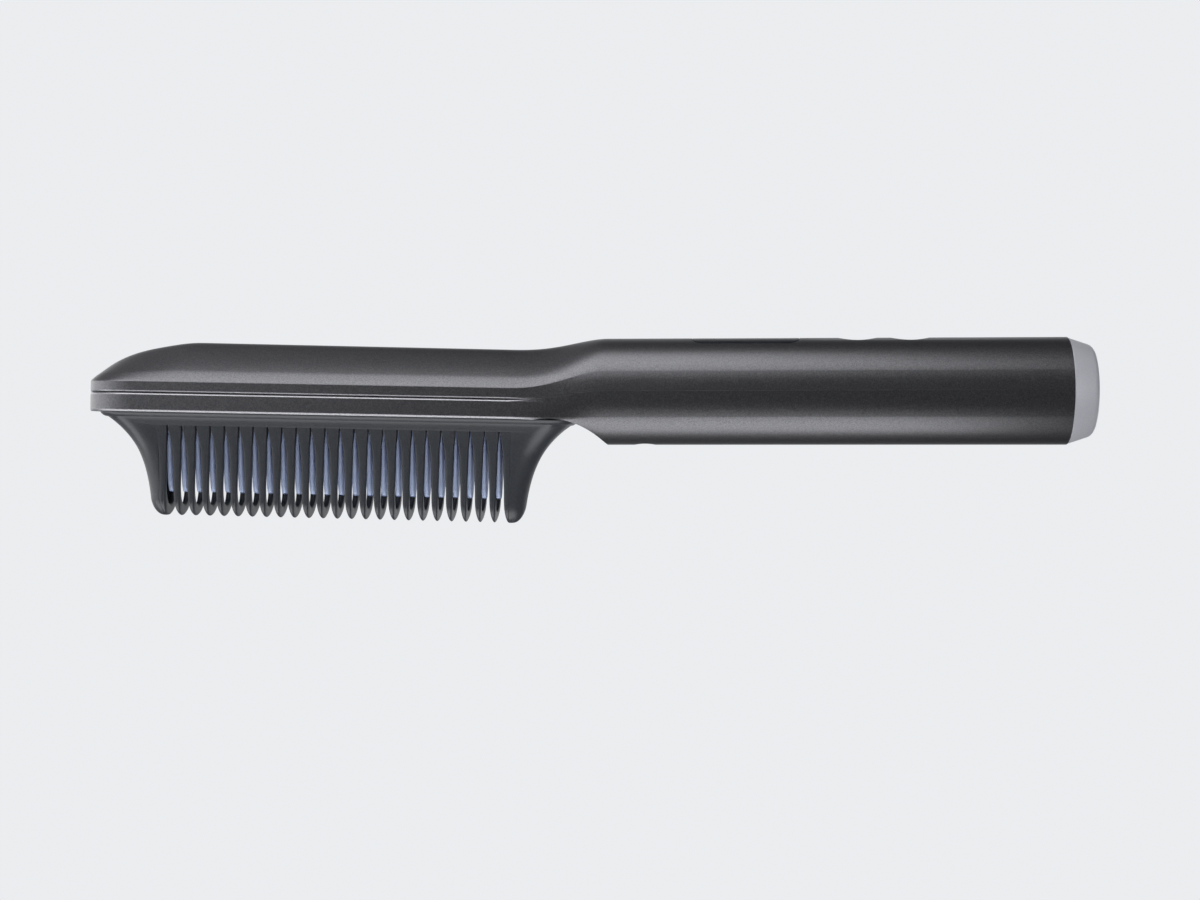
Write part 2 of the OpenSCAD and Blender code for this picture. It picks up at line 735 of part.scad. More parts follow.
// Rings of a tube along the points p
function wire_rings(p) = [for (i = [0:len(p) - 1])
    let (a = p[max(0, i - 1)], b = p[min(len(p) - 1, i + 1)], t = (b - a) / norm(b - a),
        u = wire_side(t), v = cross(t, u))
    [for (k = [0:7]) p[i] + wire_r * (u * cos(45 * k) + v * sin(45 * k))]];

// Smooth run through the points p, in n steps from each to the next
function smooth_run(p, n) = concat([for (i = [0:len(p) - 2]) for (k = [0:n - 1])
    let (t = k / n, a = p[max(0, i - 1)], b = p[i], c = p[i + 1], d = p[min(len(p) - 1, i + 2)])
    ((2 * b) + (c - a) * t + (2 * a - 5 * b + 4 * c - d) * t * t
        + (3 * b - a - 3 * c + d) * t * t * t) / 2], [p[len(p) - 1]]);

module wire(points) {
    loft(wire_rings(smooth_run(points, 4)));
}

// Pair from the heater bar, between the posts, over the collar, out under the frame's notch,
// past the housing screw, to the board
module heater_wires() {
    heater_end = heater_length / 2 - row_half - row_start;
    pocket_end = pocket_half_l - row_half - row_start;
    frame_end = frame_half_l - row_half - row_start;
    wire_z = (plate_top + heater_top) / 2;
    over_z = collar_top + wire_r + wire_over + 0.2;
    past_collar = 7;
    color("firebrick") for (sy = [-1, 1]) wire([
        from_head(heater_end + 0.05, sy * 1.2, wire_z),
        from_head(heater_end / 2, sy * 1.2, wire_z),
        from_head(-1.4, sy * 1.2, wire_z),
        from_head(0.5, sy * 1.2, wire_z + 0.3),
        from_head(pocket_end / 2, sy * 1.3, wire_z + 1.6),
        from_head(pocket_end, sy * 1.3, over_z),
        from_head(pocket_end + 3, sy * 1.3, over_z),
        from_head(pocket_end + past_collar, sy * 1.4, over_z),
        from_head(frame_end - 1, sy * 2, over_z),
        from_head(frame_end + 2, sy * 2.8, over_z + 0.3),
        from_head(neck_length - 6, sy * 3.6, over_z + 0.9),
        [x_grip + 3, sy * (boss_r + 1.2), board_top - 2],
        [housing_screw_at, sy * (boss_r + 1.4), board_top - 0.2],
        [board_x0 - 1.5, sy * 4.5, board_top + 1.6],
        [board_x0 + 1.5, sy * 3.4, board_top + wire_r + 0.05]]);
}

// One wire from the board to each contact pin, along the outside of the contact block
module supply_wires() {
    side = block_r + wire_r + 0.15;
    pad_y = board_half_w / 2;
    over = board_top + wire_r + 0.1;
    turn = 3.2;           // from the board's end to where the wires turn down
    color("firebrick") for (i = [0, 1]) let (sy = i == 0 ? 1 : -1, x = slip_x[i]) wire([
        [board_x1 - 2.2, sy * pad_y, over],
        [board_x1 + 0.6, sy * (pad_y + 1.2), over],
        [board_x1 + turn, sy * (pad_y + turn), board_top - 0.4],
        [block_x0 - 2, sy * (side - 0.9), 1.2],
        [block_x0 + 0.5, sy * side, 0.1],
        [x - 2.5, sy * side, 0],
        [x + 0.8, sy * side, 0]]);
}

// ---------- cord end ----------
module end_ring() {
    corner = [ring_end_d / 2 - ring_corner, -ring_corner];
    rim_x = x_ring + 0.1;
    outer = concat([[grip_r - ring_shoulder, rim_x]],
        [for (a = [15:15:90]) corner + ring_corner * [cos(a), sin(a)]]);
    color([0.72, 0.73, 0.76]) rotate([0, 90, 0]) rotate_extrude()
        polygon(concat(outer, [[ring_open_r, 0], [ring_open_r, -ring_lip], [ring_bore_r, -ring_lip],
            [ring_bore_r, spigot_x], [spigot_r, spigot_x], [spigot_r, rim_x]]));
}

module end_cap() {
    color([0.2, 0.2, 0.21]) difference() {
        union() {
            rod_x(ring_open_r - fit, -ring_lip - 0.5, cap_face);
            rod_x(ring_bore_r - fit, -ring_lip - cap_flange, -ring_lip - 0.05);
            rod_x(cap_tube_r, bearing_end, -ring_lip - cap_flange + cut);
        }
        rod_x(gland_r + gland_clearance, bearing_end - cut, 0);
    }
}

module swivel_gland() {
    color([0.1, 0.1, 0.1]) difference() {
        union() {
            rod_x(gland_flange_r, -gland_flange_t, 0);
            rod_x(gland_r, gland_end, -gland_flange_t / 2);
            rod_x(stub_r, stub_end, gland_end + 0.5);
        }
        rod_x(cord_bore_d / 2, -cord_bore_depth, cut);
        rod_x(stub_bore_r, stub_end - cut, cut - cord_bore_depth);
        difference() {
            rod_x(gland_r + cut, clip_x - clip_t - groove_gap, clip_x + groove_gap);
            rod_x(groove_r, clip_x - clip_t - cut, clip_x + cut);
        }
    }
}

// Open retaining clip in the gland's groove
module swivel_clip() {
    color("silver") difference() {
        rod_x(clip_r, clip_x - clip_t, clip_x);
        rod_x(groove_r + groove_gap, clip_x - clip_t - cut, clip_x + cut);
        block([clip_x - clip_t - cut, -gland_r / 4, -far], [clip_x + cut, gland_r / 4, 0]);
    }
}

module slip_rings() {
    color("goldenrod") for (x = slip_x) difference() {
        rod_x(slip_r, x - slip_half, x + slip_half);
        rod_x(stub_r + 0.02, x - slip_half - cut, x + slip_half + cut);
    }
}

// Points its children out of the contact block, one to each side
module at_pins() {
    for (i = [0, 1]) translate([slip_x[i], 0, 0]) rotate([i == 0 ? -90 : 90, 0, 0]) children();
}

module contact_block() {
    color([0.15, 0.15, 0.16]) difference() {
        union() {
            rod_x(block_r, block_x0, block_x1 - 0.5);
            rod_x(spigot_r, block_x1 - 1.2, block_x1);
        }
        rod_x(slip_r + 1, block_wall_x, block_x1 + cut);
        rod_x(stub_bore_r + 0.4, block_x0 - cut, block_wall_x + cut);
        at_pins() rod_z(pin_r + pilot_gap, 0, far);
    }
}

module contact_pins() {
    color("goldenrod") at_pins() rod_z(pin_r, slip_r + pin_gap, block_r);
}

// ---------- display ----------
module display_lens() {
    color([0.12, 0.13, 0.15]) difference() {
        inside_grip(grip_r) lens_plan(0);
        rod_x(lens_ri, x_grip - cut, x_ring + cut);
    }
}

module lens_gasket() {
    color([0.1, 0.1, 0.1]) inside_grip(lens_ri - 0.15) translate([-lens_at, 0, 0]) difference() {
        slab(window_l / 2 - gasket_gap, window_w / 2 - gasket_gap, window_corner - gasket_gap,
            module_top, grip_r);
        slab(window_l / 2 - gasket_gap - gasket_w, window_w / 2 - gasket_gap - gasket_w,
            (window_corner - gasket_gap) / 2, module_top - cut, grip_r + cut);
    }
}

module display_module() {
    color([0.2, 0.2, 0.22]) block([-lens_at - module_half_l, -module_half_w, board_top],
        [-lens_at + module_half_l, module_half_w, module_top]);
}

// ---------- control board ----------
module control_board() {
    color("darkgreen") difference() {
        block([board_x0, -board_half_w, board_under], [board_x1, board_half_w, board_top]);
        at_board_screws() rod_z(board_screw[0] + screw_gap, board_under - cut, board_top + cut);
    }
}

// Chip on the board's face, centred at [x, 0]
module chip(x, size) {
    translate([x - size[0] / 2, -size[1] / 2, board_top]) cube(size);
}

// The same under the board
module hung_chip(x, size) {
    translate([x - size[0] / 2, -size[1] / 2, board_under - size[2]]) cube(size);
}

// Film capacitor, electrolytic, power switch and choke hang under the board, the controller
// stands on it between the display and the power button
module board_components() {
    color("chocolate") hung_chip(film_capacitor_x, film_capacitor);
    color("black") translate([0, 0, board_under - can_r]) rod_x(can_r, can_x, can_x + can_length);
    color("black") hung_chip(-power_at, power_chip);
    color("dimgray") translate([-temperature_at, 0, 0])
        rod_z(choke_r, board_under - choke_h, board_under);
    color("black") chip(controller_x, controller);
}

module board_screws() {
    color("silver") at_board_screws() translate([0, 0, board_under]) mirror([0, 0, 1])
        screw(board_screw);
}

// ---------- buttons ----------
module button(at) {
    difference() {
        translate([-at, 0, 0]) {
            rod_z(button_d / 2, flange_z, grip_r);
            rod_z(flange_r, flange_z, flange_z + flange_t);
            rod_z(stem_r, plunger_top, flange_z + flange_t / 2);
        }
        finger_dish(at);
    }
}

module switch_body(at) {
    translate([-at, 0, 0]) difference() {
        block([-switch_half, -switch_half, board_top], [switch_half, switch_half, switch_top]);
        rod_z(plunger_r + plunger_gap, well_z, switch_top + cut);
    }
}

module plunger(at) {
    translate([-at, 0, 0]) rod_z(plunger_r, well_z + plunger_gap + button_travel, plunger_top);
}

module power_button() { color([0.25, 0.25, 0.27]) button(power_at); }
module power_switch() { color([0.1, 0.1, 0.1]) switch_body(power_at); }
module power_plunger() { color("ivory") plunger(power_at); }
module temperature_button() { color([0.25, 0.25, 0.27]) button(temperature_at); }
module temperature_switch() { color([0.1, 0.1, 0.1]) switch_body(temperature_at); }
module temperature_plunger() { color("ivory") plunger(temperature_at); }

// ---------- housing screw ----------
module housing_screw() {
    color("silver") translate([housing_screw_at, 0, seat_z]) mirror([0, 0, 1])
        screw(housing_screw);
}

module screw_plug() {
    color("dimgray") inside_grip(grip_r - plug_sink)
        translate([housing_screw_at, 0, 0]) rod_z(plug_r, -grip_r, plug_top);
}

upper_cover();
lower_cover();
guard_comb();
heater_comb();
ptc_heater();
insulating_wrap();
clamp_plate();
clamp_screws();
heater_frame();
frame_screws();
thermal_fuse();
thermistor();
heater_wires();
end_ring();
end_cap();
swivel_gland();
swivel_clip();
slip_rings();
contact_block();
contact_pins();
supply_wires();
display_lens();
lens_gasket();
display_module();
control_board();
board_components();
board_screws();
power_button();
power_switch();
power_plunger();
temperature_button();
temperature_switch();
temperature_plunger();
housing_screw();
screw_plug();
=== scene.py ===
import math

import bmesh
import bpy
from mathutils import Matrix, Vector


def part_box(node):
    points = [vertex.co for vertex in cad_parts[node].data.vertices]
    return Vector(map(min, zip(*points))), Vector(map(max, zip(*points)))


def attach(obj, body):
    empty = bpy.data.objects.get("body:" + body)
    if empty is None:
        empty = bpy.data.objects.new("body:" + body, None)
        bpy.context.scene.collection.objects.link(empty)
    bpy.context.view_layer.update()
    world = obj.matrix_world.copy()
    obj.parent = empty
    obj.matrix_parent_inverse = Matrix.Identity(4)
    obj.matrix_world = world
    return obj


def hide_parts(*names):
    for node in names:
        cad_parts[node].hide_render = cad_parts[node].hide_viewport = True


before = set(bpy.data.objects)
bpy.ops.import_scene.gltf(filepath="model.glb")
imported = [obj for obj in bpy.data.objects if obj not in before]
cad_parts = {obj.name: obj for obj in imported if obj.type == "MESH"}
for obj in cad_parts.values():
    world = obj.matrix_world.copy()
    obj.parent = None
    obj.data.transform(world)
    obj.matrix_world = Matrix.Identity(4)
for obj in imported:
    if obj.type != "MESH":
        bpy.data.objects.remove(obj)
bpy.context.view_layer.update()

# Sizes are in millimetres, as on the drawing, and become metres where a mesh is made.
MM = 0.001

# ---------- camera ----------
PHOTO_WIDTH = 1200
FOCAL_PX = 1738
AXIS_PX = 660          # column of the photograph that the camera's axis passes through
SENSOR = 36.0
CAMERA_AT = (-92, -500, -16.8)
CAMERA_TURN = math.radians(3.56)


def add_camera():
    data = bpy.data.cameras.new("camera")
    data.sensor_fit = "HORIZONTAL"
    data.sensor_width = SENSOR
    data.lens = SENSOR * FOCAL_PX / PHOTO_WIDTH
    data.shift_x = (PHOTO_WIDTH / 2 - AXIS_PX) / PHOTO_WIDTH
    camera = bpy.data.objects.new("camera", data)
    camera.location = Vector(CAMERA_AT) * MM
    camera.rotation_euler = (math.pi / 2, 0, CAMERA_TURN)
    bpy.context.scene.collection.objects.link(camera)
    bpy.context.scene.camera = camera


# ---------- sizes of the comb ----------
def box_mm(node):
    low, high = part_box(node)
    return low / MM, high / MM


GRIP_R = box_mm("upper_cover")[1].z
X_RING = box_mm("upper_cover")[1].x      # where the end ring meets the covers
COVER_WALL = 2.2
SEAM_GAP = 0.2
GRIP_LENGTH = 130.4
NECK_LENGTH = 28
X_GRIP = X_RING - GRIP_LENGTH
X_NECK = X_GRIP - NECK_LENGTH

HEAD_HALF = 15
HEAD_TILT = math.radians(1.2)
SEAM_Z = -2.35
CREASE_Z = SEAM_Z + 3.4
BASE_Z = SEAM_Z - 5.35
BAND_LOW = 0.3         # how much lower the band's lower edge and the lip are in the photograph
SEAM_LOW = 0.15        # the same, for the open line along the seam
BAND_FLOOR = 1.8       # thickness of the lower cover above the band's lower edge
CROWN_HEIGHT = 11.65
CROWN_DROP = 0.45
CROWN_ROUND = 0.35     # share of the half width over which the crown's top is rounded
BULGE = 0.045          # swell of the shoulders just above the crease
BULGE_AT = 0.83        # where it is greatest, as a share of the half width
NOSE_CURVE = 28.6      # length of the rising nose, seen from the side
NOSE_BEND = 3.2        # reach of the rounding where the nose meets the crown's top
BEND_OPEN = 20         # length behind the nose's point over which that rounding opens up
NOSE_ROUND = 16        # length of the rounded nose, seen from above
NOSE_START = 0.146     # place of the foremost ring behind the point of the nose's plan
NOSE_POWER = 2.4
CREASE_ANGLE = math.radians(21)
BASE_ANGLE = math.radians(-30)
SCOOP_R = 21
SCOOP_WALL = 1.7
CHAMFER_PULL = 0.2     # how far a soft chamfer bulges towards its corner
EDGE_KEEP = 4          # rows of faces between a cover's seam and its band's edge
SHELL_KEEP = 30        # rows from there to the middle
SUPPORT = 0.08         # width of the row that keeps a corner's shading off the flat beside it

LOOP_COUNT = 25
LOOP_PITCH = 4.2
ROW_START = 0.1
ROW_HALF = (LOOP_COUNT - 1) / 2 * LOOP_PITCH
HEAD_LENGTH = 2 * ROW_HALF + ROW_START + 22.4
LIP_Z = BASE_Z - BAND_LOW - 1.4
GUARD_DEPTH = 28.8 - BAND_LOW
ROOM_BOTTOM = 25.4 - BAND_LOW     # depth of the room inside the loops
TIP_ROUND = 5.2        # height of the rounded bottom of the loops
ROOM_ROUND = 6.0
LEG_THICKNESS = 2.2
ROOM_END = 2.2
SLOT_TOP = 2.3
SLOT_STRAIGHT = 20
FIN_THICKNESS = 1.4
FIN_STEP = 1.1
FIN_ROOT = 0.9 + BAND_LOW
FIN_DEPTH = 22 - BAND_LOW
FIN_TAPER = 7.5
PLATE_Z = BASE_Z - 0.9
PLATE_TOP = PLATE_Z + 2.5


def lerp(a, b, t):
    return a + (b - a) * t


def clamp01(t):
    return max(0.0, min(1.0, t))


def smooth(t):
    return t * t * (3 - 2 * t)


# ---------- meshes ----------
def new_piece(name, points, faces, material):
    """Mesh from points in millimetres, its doubles merged and its faces turned out."""
    mesh = bpy.data.meshes.new(name)
    mesh.from_pydata([Vector(p) * MM for p in points], [], faces)
    piece = bpy.data.objects.new(name, mesh)
    bpy.context.scene.collection.objects.link(piece)
    clean(piece)
    finish_mesh(piece, material)
    return piece


DOUBLE = 1e-6          # metres between points that are merged


def clean(piece):
    work = bmesh.new()
    work.from_mesh(piece.data)
    bmesh.ops.remove_doubles(work, verts=work.verts, dist=DOUBLE)
    bmesh.ops.dissolve_degenerate(work, edges=work.edges, dist=DOUBLE)
    bmesh.ops.recalc_face_normals(work, faces=work.faces)
    work.to_mesh(piece.data)
    work.free()


def finish_mesh(piece, material, sharp=32):
    """Gives the piece its material, and smooth shading that stops at edges sharper than an angle."""
    piece.data.materials.clear()
    if material:
        piece.data.materials.append(material)
    piece.data.shade_smooth()
    piece.data.set_sharp_from_angle(angle=math.radians(sharp))


def applied(piece):
    """Turns the piece's modifiers into its mesh."""
    depsgraph = bpy.context.evaluated_depsgraph_get()
    mesh = bpy.data.meshes.new_from_object(piece.evaluated_get(depsgraph))
    piece.modifiers.clear()
    piece.data = mesh
    return piece


def boolean(piece, cutter):
    """Cuts the cutter out of the piece, and removes the cutter."""
    cut = piece.modifiers.new("cut", "BOOLEAN")
    cut.operation = "DIFFERENCE"
    cut.solver = "EXACT"
    cut.object = cutter
    applied(piece)
    bpy.data.objects.remove(cutter)
    return piece


def rounded_edges(piece, width, angle):
    """Bevels the edges that turn by more than an angle."""
    bevel = piece.modifiers.new("edges", "BEVEL")
    bevel.width = width * MM
    bevel.segments = 2
    bevel.limit_method = "ANGLE"
    bevel.angle_limit = math.radians(angle)
    bevel.use_clamp_overlap = True
    applied(piece)


def loft(rings, closed_ends=True):
    """Points and faces of a skin through closed rings of equal counts."""
    count = len(rings[0])
    points = [p for ring in rings for p in ring]
    faces = []
    for j in range(len(rings) - 1):
        for i in range(count):
            k = (i + 1) % count
            faces.append((j * count + i, j * count + k, (j + 1) * count + k, (j + 1) * count + i))
    if closed_ends:
        faces.append(tuple(range(count)))
        faces.append(tuple((len(rings) - 1) * count + i for i in range(count)))
    return points, faces


def turned(profile, segments):
    """Points and faces of a closed (x, radius) profile turned about the X axis."""
    rings = [[(x, r * math.cos(a), r * math.sin(a)) for x, r in profile]
             for a in (2 * math.pi * k / segments for k in range(segments))]
    points, faces = loft(rings, closed_ends=False)
    count = len(profile)
    last = (segments - 1) * count
    for i in range(count):
        k = (i + 1) % count
        faces.append((last + i, last + k, k, i))
    return points, faces


def rounded_profile(corners):
    """Closed outline from (x, y, radius) corners, each radius turned by short steps."""
    outline = []
    count = len(corners)
    for i, (x, y, radius) in enumerate(corners):
        here = Vector((x, y))
        if radius == 0:
            outline.append((x, y))
            continue
        before = (Vector(corners[i - 1][:2]) - here).normalized()
        after = (Vector(corners[(i + 1) % count][:2]) - here).normalized()
        outline += [tuple(point) for point in corner_curve(here, before, after, radius, radius)]
    return outline


def corner_curve(corner, before, after, reach_before, reach_after, steps=4, pull=0.55):
    """Points of a rounded corner, from one side to the other; the less pull, the flatter it is."""
    start = corner + before * reach_before
    end = corner + after * reach_after
    a = start + (corner - start) * pull
    b = end + (corner - end) * pull
    points = []
    for k in range(steps + 1):
        t = k / steps
        points.append(start * (1 - t) ** 3 + a * 3 * t * (1 - t) ** 2
                      + b * 3 * t * t * (1 - t) + end * t ** 3)
    return points


# ---------- the shape of the head, neck and grip ----------
def neck_t(lx):
    return smooth(clamp01(lx / NECK_LENGTH) ** 1.3)


def plan_half(s, inset):
    q = clamp01((s - inset) / (NOSE_ROUND - inset))
    return (HEAD_HALF - inset) * (1 - (1 - q) ** NOSE_POWER) ** (1 / NOSE_POWER)


def crown(s, inset):
    """Height of the crown over the crease, its bend at the end of the nose rounded off."""
    def plain(s):
        q = clamp01((s - inset) / NOSE_CURVE)
        rise = 0.4 * q + 0.6 * (1 - (1 - q) ** 4)
        drop = CROWN_DROP * clamp01((s - NOSE_CURVE) / (HEAD_LENGTH - NOSE_CURVE))
        return (CROWN_HEIGHT - inset) * rise - drop
    reach = clamp01((s - inset) / BEND_OPEN) * NOSE_BEND
    samples = 4
    return sum(plain(s + reach * k / samples) for k in range(-samples, samples + 1)) / (2 * samples + 1)


def shoulder(u):
    """Drop of the crown's section below its top, 0 in the middle and 1 at the crease."""
    plain = (math.hypot(u, CROWN_ROUND) - CROWN_ROUND) / (math.hypot(1, CROWN_ROUND) - CROWN_ROUND)
    if u < BULGE_AT:
        return plain - BULGE * smooth(clamp01((u - 0.3) / (BULGE_AT - 0.3)))
    return plain - BULGE * (1 - ((u - BULGE_AT) / (1 - BULGE_AT)) ** 1.6)


def from_head(x, y, z):
    return Vector((X_NECK + x * math.cos(HEAD_TILT) + z * math.sin(HEAD_TILT), y,
                   -x * math.sin(HEAD_TILT) + z * math.cos(HEAD_TILT)))


def from_row(x, y, z):
    """Point in the frame of the row of loops, whose origin is midway along the row."""
    return from_head(x - ROW_HALF - ROW_START, y, z)


def on_grip(lx, yh, zh, yg, zg):
    head = from_head(lx, yh, zh)
    grip = Vector((X_NECK + lx, yg, zg))
    return head.lerp(grip, neck_t(lx))


def half_ring(lx, inset, seam, edge_z, end_angle, top):
    """One side of a cover's ring: the band from the seam to its edge, then on to the middle at y = 0."""
    s = lx + HEAD_LENGTH
    w = plan_half(s, inset)
    r = GRIP_R - inset
    start_angle = math.asin((seam - SEAM_Z) / r)
    band_steps = 6
    shell_steps = 30
    points = []
    for k in range(band_steps):
        angle = lerp(start_angle, end_angle, k / band_steps)
        points.append((w, lerp(seam, edge_z, k / band_steps), r * math.cos(angle), r * math.sin(angle)))
    for j in range(shell_steps + 1):
        a = math.pi / 2 * j / shell_steps
        angle = lerp(end_angle, math.pi / 2 if top else -math.pi / 2, j / shell_steps)
        rise = crown(s, inset) * (1 - shoulder(math.cos(a))) if top else 0
        points.append((w * math.cos(a), edge_z + rise, r * math.cos(angle), r * math.sin(angle)))
    return [on_grip(lx, *p) for p in points], band_steps


def along(points, start, step, reach):
    """Point at a distance along a run of points from one of them, and the index of the next point kept."""
    i = start
    while 0 <= i + step < len(points):
        length = (points[i + step] - points[i]).length
        if length > reach:
            return points[i].lerp(points[i + step], reach / length), i + step
        reach -= length
        i += step
    return points[i], i


def softened(side, edge, below, above, pull):
    """One side of a ring with its edge rounded: below and above are the rounding's reaches."""
    corner = side[edge]
    room = 0.4 * corner.y
    below, above = min(below, room), min(above, room)
    before = along(side, edge, -1, below)[0]
    after, first = along(side, edge, 1, above)
    beside, last = along(side, edge, -1, below + SUPPORT)
    turn = corner_curve(corner, (before - corner).normalized(), (after - corner).normalized(),
                        (before - corner).length, (after - corner).length, 8, pull)
    band = resampled(side[:last + 1] + [beside], EDGE_KEEP)
    shell = resampled([after] + side[first:], SHELL_KEEP)
    return band + turn + shell[1:]


def cover_ring(lx, inset, seam, edge_z, end_angle, top, edge_reach=None, pull=0.55):
    """A whole ring of a cover, its seam corner and its band's edge softened."""
    side, edge = half_ring(lx, inset, seam, edge_z, end_angle, top)
    if edge_reach:
        side = softened(side, edge, *edge_reach, pull)
        corner = side[0]
        up = (side[1] - corner).normalized()
        inward, along_band = seam_reach(lx)
        start = corner_curve(corner, Vector((0, -1, 0)), up, inward, along_band, 4, CHAMFER_PULL)
        side = start + [corner + up * (along_band + SUPPORT)] + side[1:]
    mirrored = [Vector((p.x, -p.y, p.z)) for p in reversed(side[:-1])]
    return side + mirrored


def resampled(points, count):
    """The same run of points in count equal steps, so that every ring has as many."""
    lengths = [0.0]
    for a, b in zip(points, points[1:]):
        lengths.append(lengths[-1] + (b - a).length)
    out = []
    j = 0
    for k in range(count + 1):
        target = lengths[-1] * k / count
        while j < len(points) - 2 and lengths[j + 1] < target:
            j += 1
        length = lengths[j + 1] - lengths[j]
        out.append(points[j].lerp(points[j + 1], (target - lengths[j]) / length if length > 0 else 0))
    return out


def stations(inset):
    """Places of the rings along the head and neck, close together round the nose."""
    nose_steps = 30
    round_nose = [inset + (NOSE_ROUND - inset) * (1 - math.cos(math.pi / 2 * (k / nose_steps) ** 1.2)
                  ** (2 / NOSE_POWER)) for k in range(nose_steps)]
    round_nose = [inset + NOSE_START] + [s for s in round_nose if s > inset + 1.2 * NOSE_START]
    rising = [NOSE_ROUND + (NOSE_CURVE - NOSE_ROUND) * k / 12 for k in range(13)]
    bend = [NOSE_CURVE + step for step in (1, 2, 3, 4, 5, 6.5, 8)]
    head = [s - HEAD_LENGTH for s in round_nose + rising + bend] + [lerp(NOSE_CURVE - HEAD_LENGTH, 0, 0.5)]
    neck = [NECK_LENGTH * k / 40 for k in range(41)]
    return head + neck


def half_gap(lx):
    """Half of the open line between the covers, which closes up along the neck and the grip."""
    on_neck = lerp(0.1, 0.045, smooth(clamp01(lx / 12)))
    return lerp(on_neck, 0.004, clamp01((lx - NECK_LENGTH) / GRIP_LENGTH))


def seam_reach(lx):
    """Reach of the chamfer along the seam: inwards, and along the band."""
    t = smooth(clamp01(lx / 9))
    return lerp(0.45, 0.02, t), lerp(0.52, 0.02, t)


def crease_reach(lx):
    """Reach of the crown's rounded crease: into the band, and up the shoulder."""
    t = neck_t(lx)
    return lerp(0.5, 0.1, t), lerp(3.3, 0.1, t)


def base_reach(lx):
    """Reach of the chamfer on the band's lower edge: up the band, and under the head."""
    t = neck_t(lx)
    return lerp(0.65, 0.1, t), lerp(0.5, 0.1, t)


def upper_rings(inset, drop, past):
    places = stations(inset) + [NECK_LENGTH + GRIP_LENGTH + past]
    return [cover_ring(lx, inset, SEAM_Z - SEAM_LOW + half_gap(lx) - drop, CREASE_Z, CREASE_ANGLE, True,
                       None if inset else crease_reach(lx)) for lx in places]


def lower_rings(inset, rise, past):
    floor = BASE_Z + (BAND_FLOOR if inset else -BAND_LOW)
    places = stations(inset) + [NECK_LENGTH + GRIP_LENGTH + past]
    return [cover_ring(lx, inset, SEAM_Z - SEAM_LOW - half_gap(lx) + rise, floor, BASE_ANGLE, False,
                       None if inset else base_reach(lx), CHAMFER_PULL) for lx in places]


# ---------- cutters ----------
def rounded_plan(half_l, half_w, radius, steps=8):
    points = []
    for quarter in range(4):
        sx = 1 if quarter in (0, 3) else -1
        sy = 1 if quarter < 2 else -1
        for i in range(steps + 1):
            a = math.pi / 2 * (quarter + i / steps)
            points.append((sx * (half_l - radius) + radius * math.cos(a),
                           sy * (half_w - radius) + radius * math.sin(a)))
    return points


def with_sides(plan, parts):
    """The same plan with its four straight sides cut into parts."""
    quarter = len(plan) // 4
    points = []
    for i, (x, y) in enumerate(plan):
        points.append((x, y))
        if i % quarter == quarter - 1:
            nx, ny = plan[(i + 1) % len(plan)]
            points += [(lerp(x, nx, k / parts), lerp(y, ny, k / parts)) for k in range(1, parts)]
    return points


def slab(half_l, half_w, radius, z0, z1, place):
    """Rounded plan between two heights, each point put in its place."""
    rings = [[place(x, y, z) for x, y in rounded_plan(half_l, half_w, radius)] for z in (z0, z1)]
    return loft(rings)


def circle(u, v, radius, steps):
    """Points of a circle round (u, v)."""
    angles = (2 * math.pi * k / steps for k in range(steps))
    return [(u + radius * math.cos(a), v + radius * math.sin(a)) for a in angles]


def cylinder_y(x, z, radius, half, steps=360):
    return loft([[(u, y, v) for u, v in circle(x, z, radius, steps)] for y in (-half, half)])


def cylinder_z(x, y, radius, z0, z1):
    return loft([[(u, v, z) for u, v in circle(x, y, radius, ROUND_STEPS)] for z in (z0, z1)])


def tool(points_faces):
    """Cutter, for boolean()."""
    return new_piece("tool", *points_faces, None)


# ---------- covers ----------
LENS_AT = 98.4
LENS_HALF_L = 15.4
LENS_HALF_W = 7.5
LENS_CORNER = 4
LENS_THICKNESS = 1.3
LENS_GAP = 0.1
WINDOW_HALF_L = 13
WINDOW_HALF_W = 5.5
WINDOW_CORNER = 3
BUTTON_AT = {"power_button": 66.6, "temperature_button": 51.7}
BUTTON_R = 4.7
BUTTON_GAP = 0.2
ROUND_STEPS = 96       # points round a button and its hole
TOP_CUT = (5, 2 * GRIP_R)         # heights between which the openings in the grip's top are cut
DISH_LENGTH = 11.5
DISH_DEPTH = 0.9
DISH_R = (DISH_LENGTH ** 2 / 4 + DISH_DEPTH ** 2) / (2 * DISH_DEPTH)
DISH_Z = GRIP_R - DISH_DEPTH + DISH_R
PLUG_AT = X_GRIP + 10.5
PLUG_R = 3
PLUG_SINK = 0.3
PLUG_HOLE_TOP = -9
PLUG_INNER = -12.5     # height of the plug's inner face


def lens_tool():
    """Pocket of the lens: its plan, down to a floor that follows the grip."""
    floor_r = GRIP_R - LENS_THICKNESS - LENS_GAP
    plan = rounded_plan(LENS_HALF_L + LENS_GAP, LENS_HALF_W + LENS_GAP, LENS_CORNER + LENS_GAP)
    pocket = tool(loft([[(x - LENS_AT, y, z) for x, y in plan] for z in TOP_CUT]))
    inner_r = 0.5
    core = [(X_GRIP, floor_r), (-LENS_AT / 2, floor_r), (-LENS_AT / 2, inner_r), (X_GRIP, inner_r)]
    return boolean(pocket, tool(turned(core, 256)))


def round_height(radius, across):
    """Height of a round surface over its axis, at a distance across it."""
    return math.sqrt(radius ** 2 - across * across)


def dish_tool(at):
    """Bed of a finger dish: the part of its cylinder that dips into the grip, closed above it."""
    reach = DISH_LENGTH * 0.75
    steps = 60
    xs = [lerp(-reach, reach, k / steps) for k in range(steps + 1)]
    bed = [(x - at, DISH_Z - round_height(DISH_R, x)) for x in xs]
    outline = bed + [(reach - at, GRIP_R + 3), (-reach - at, GRIP_R + 3)]
    return loft([[(x, y, z) for x, z in outline] for y in (-GRIP_R, GRIP_R)])


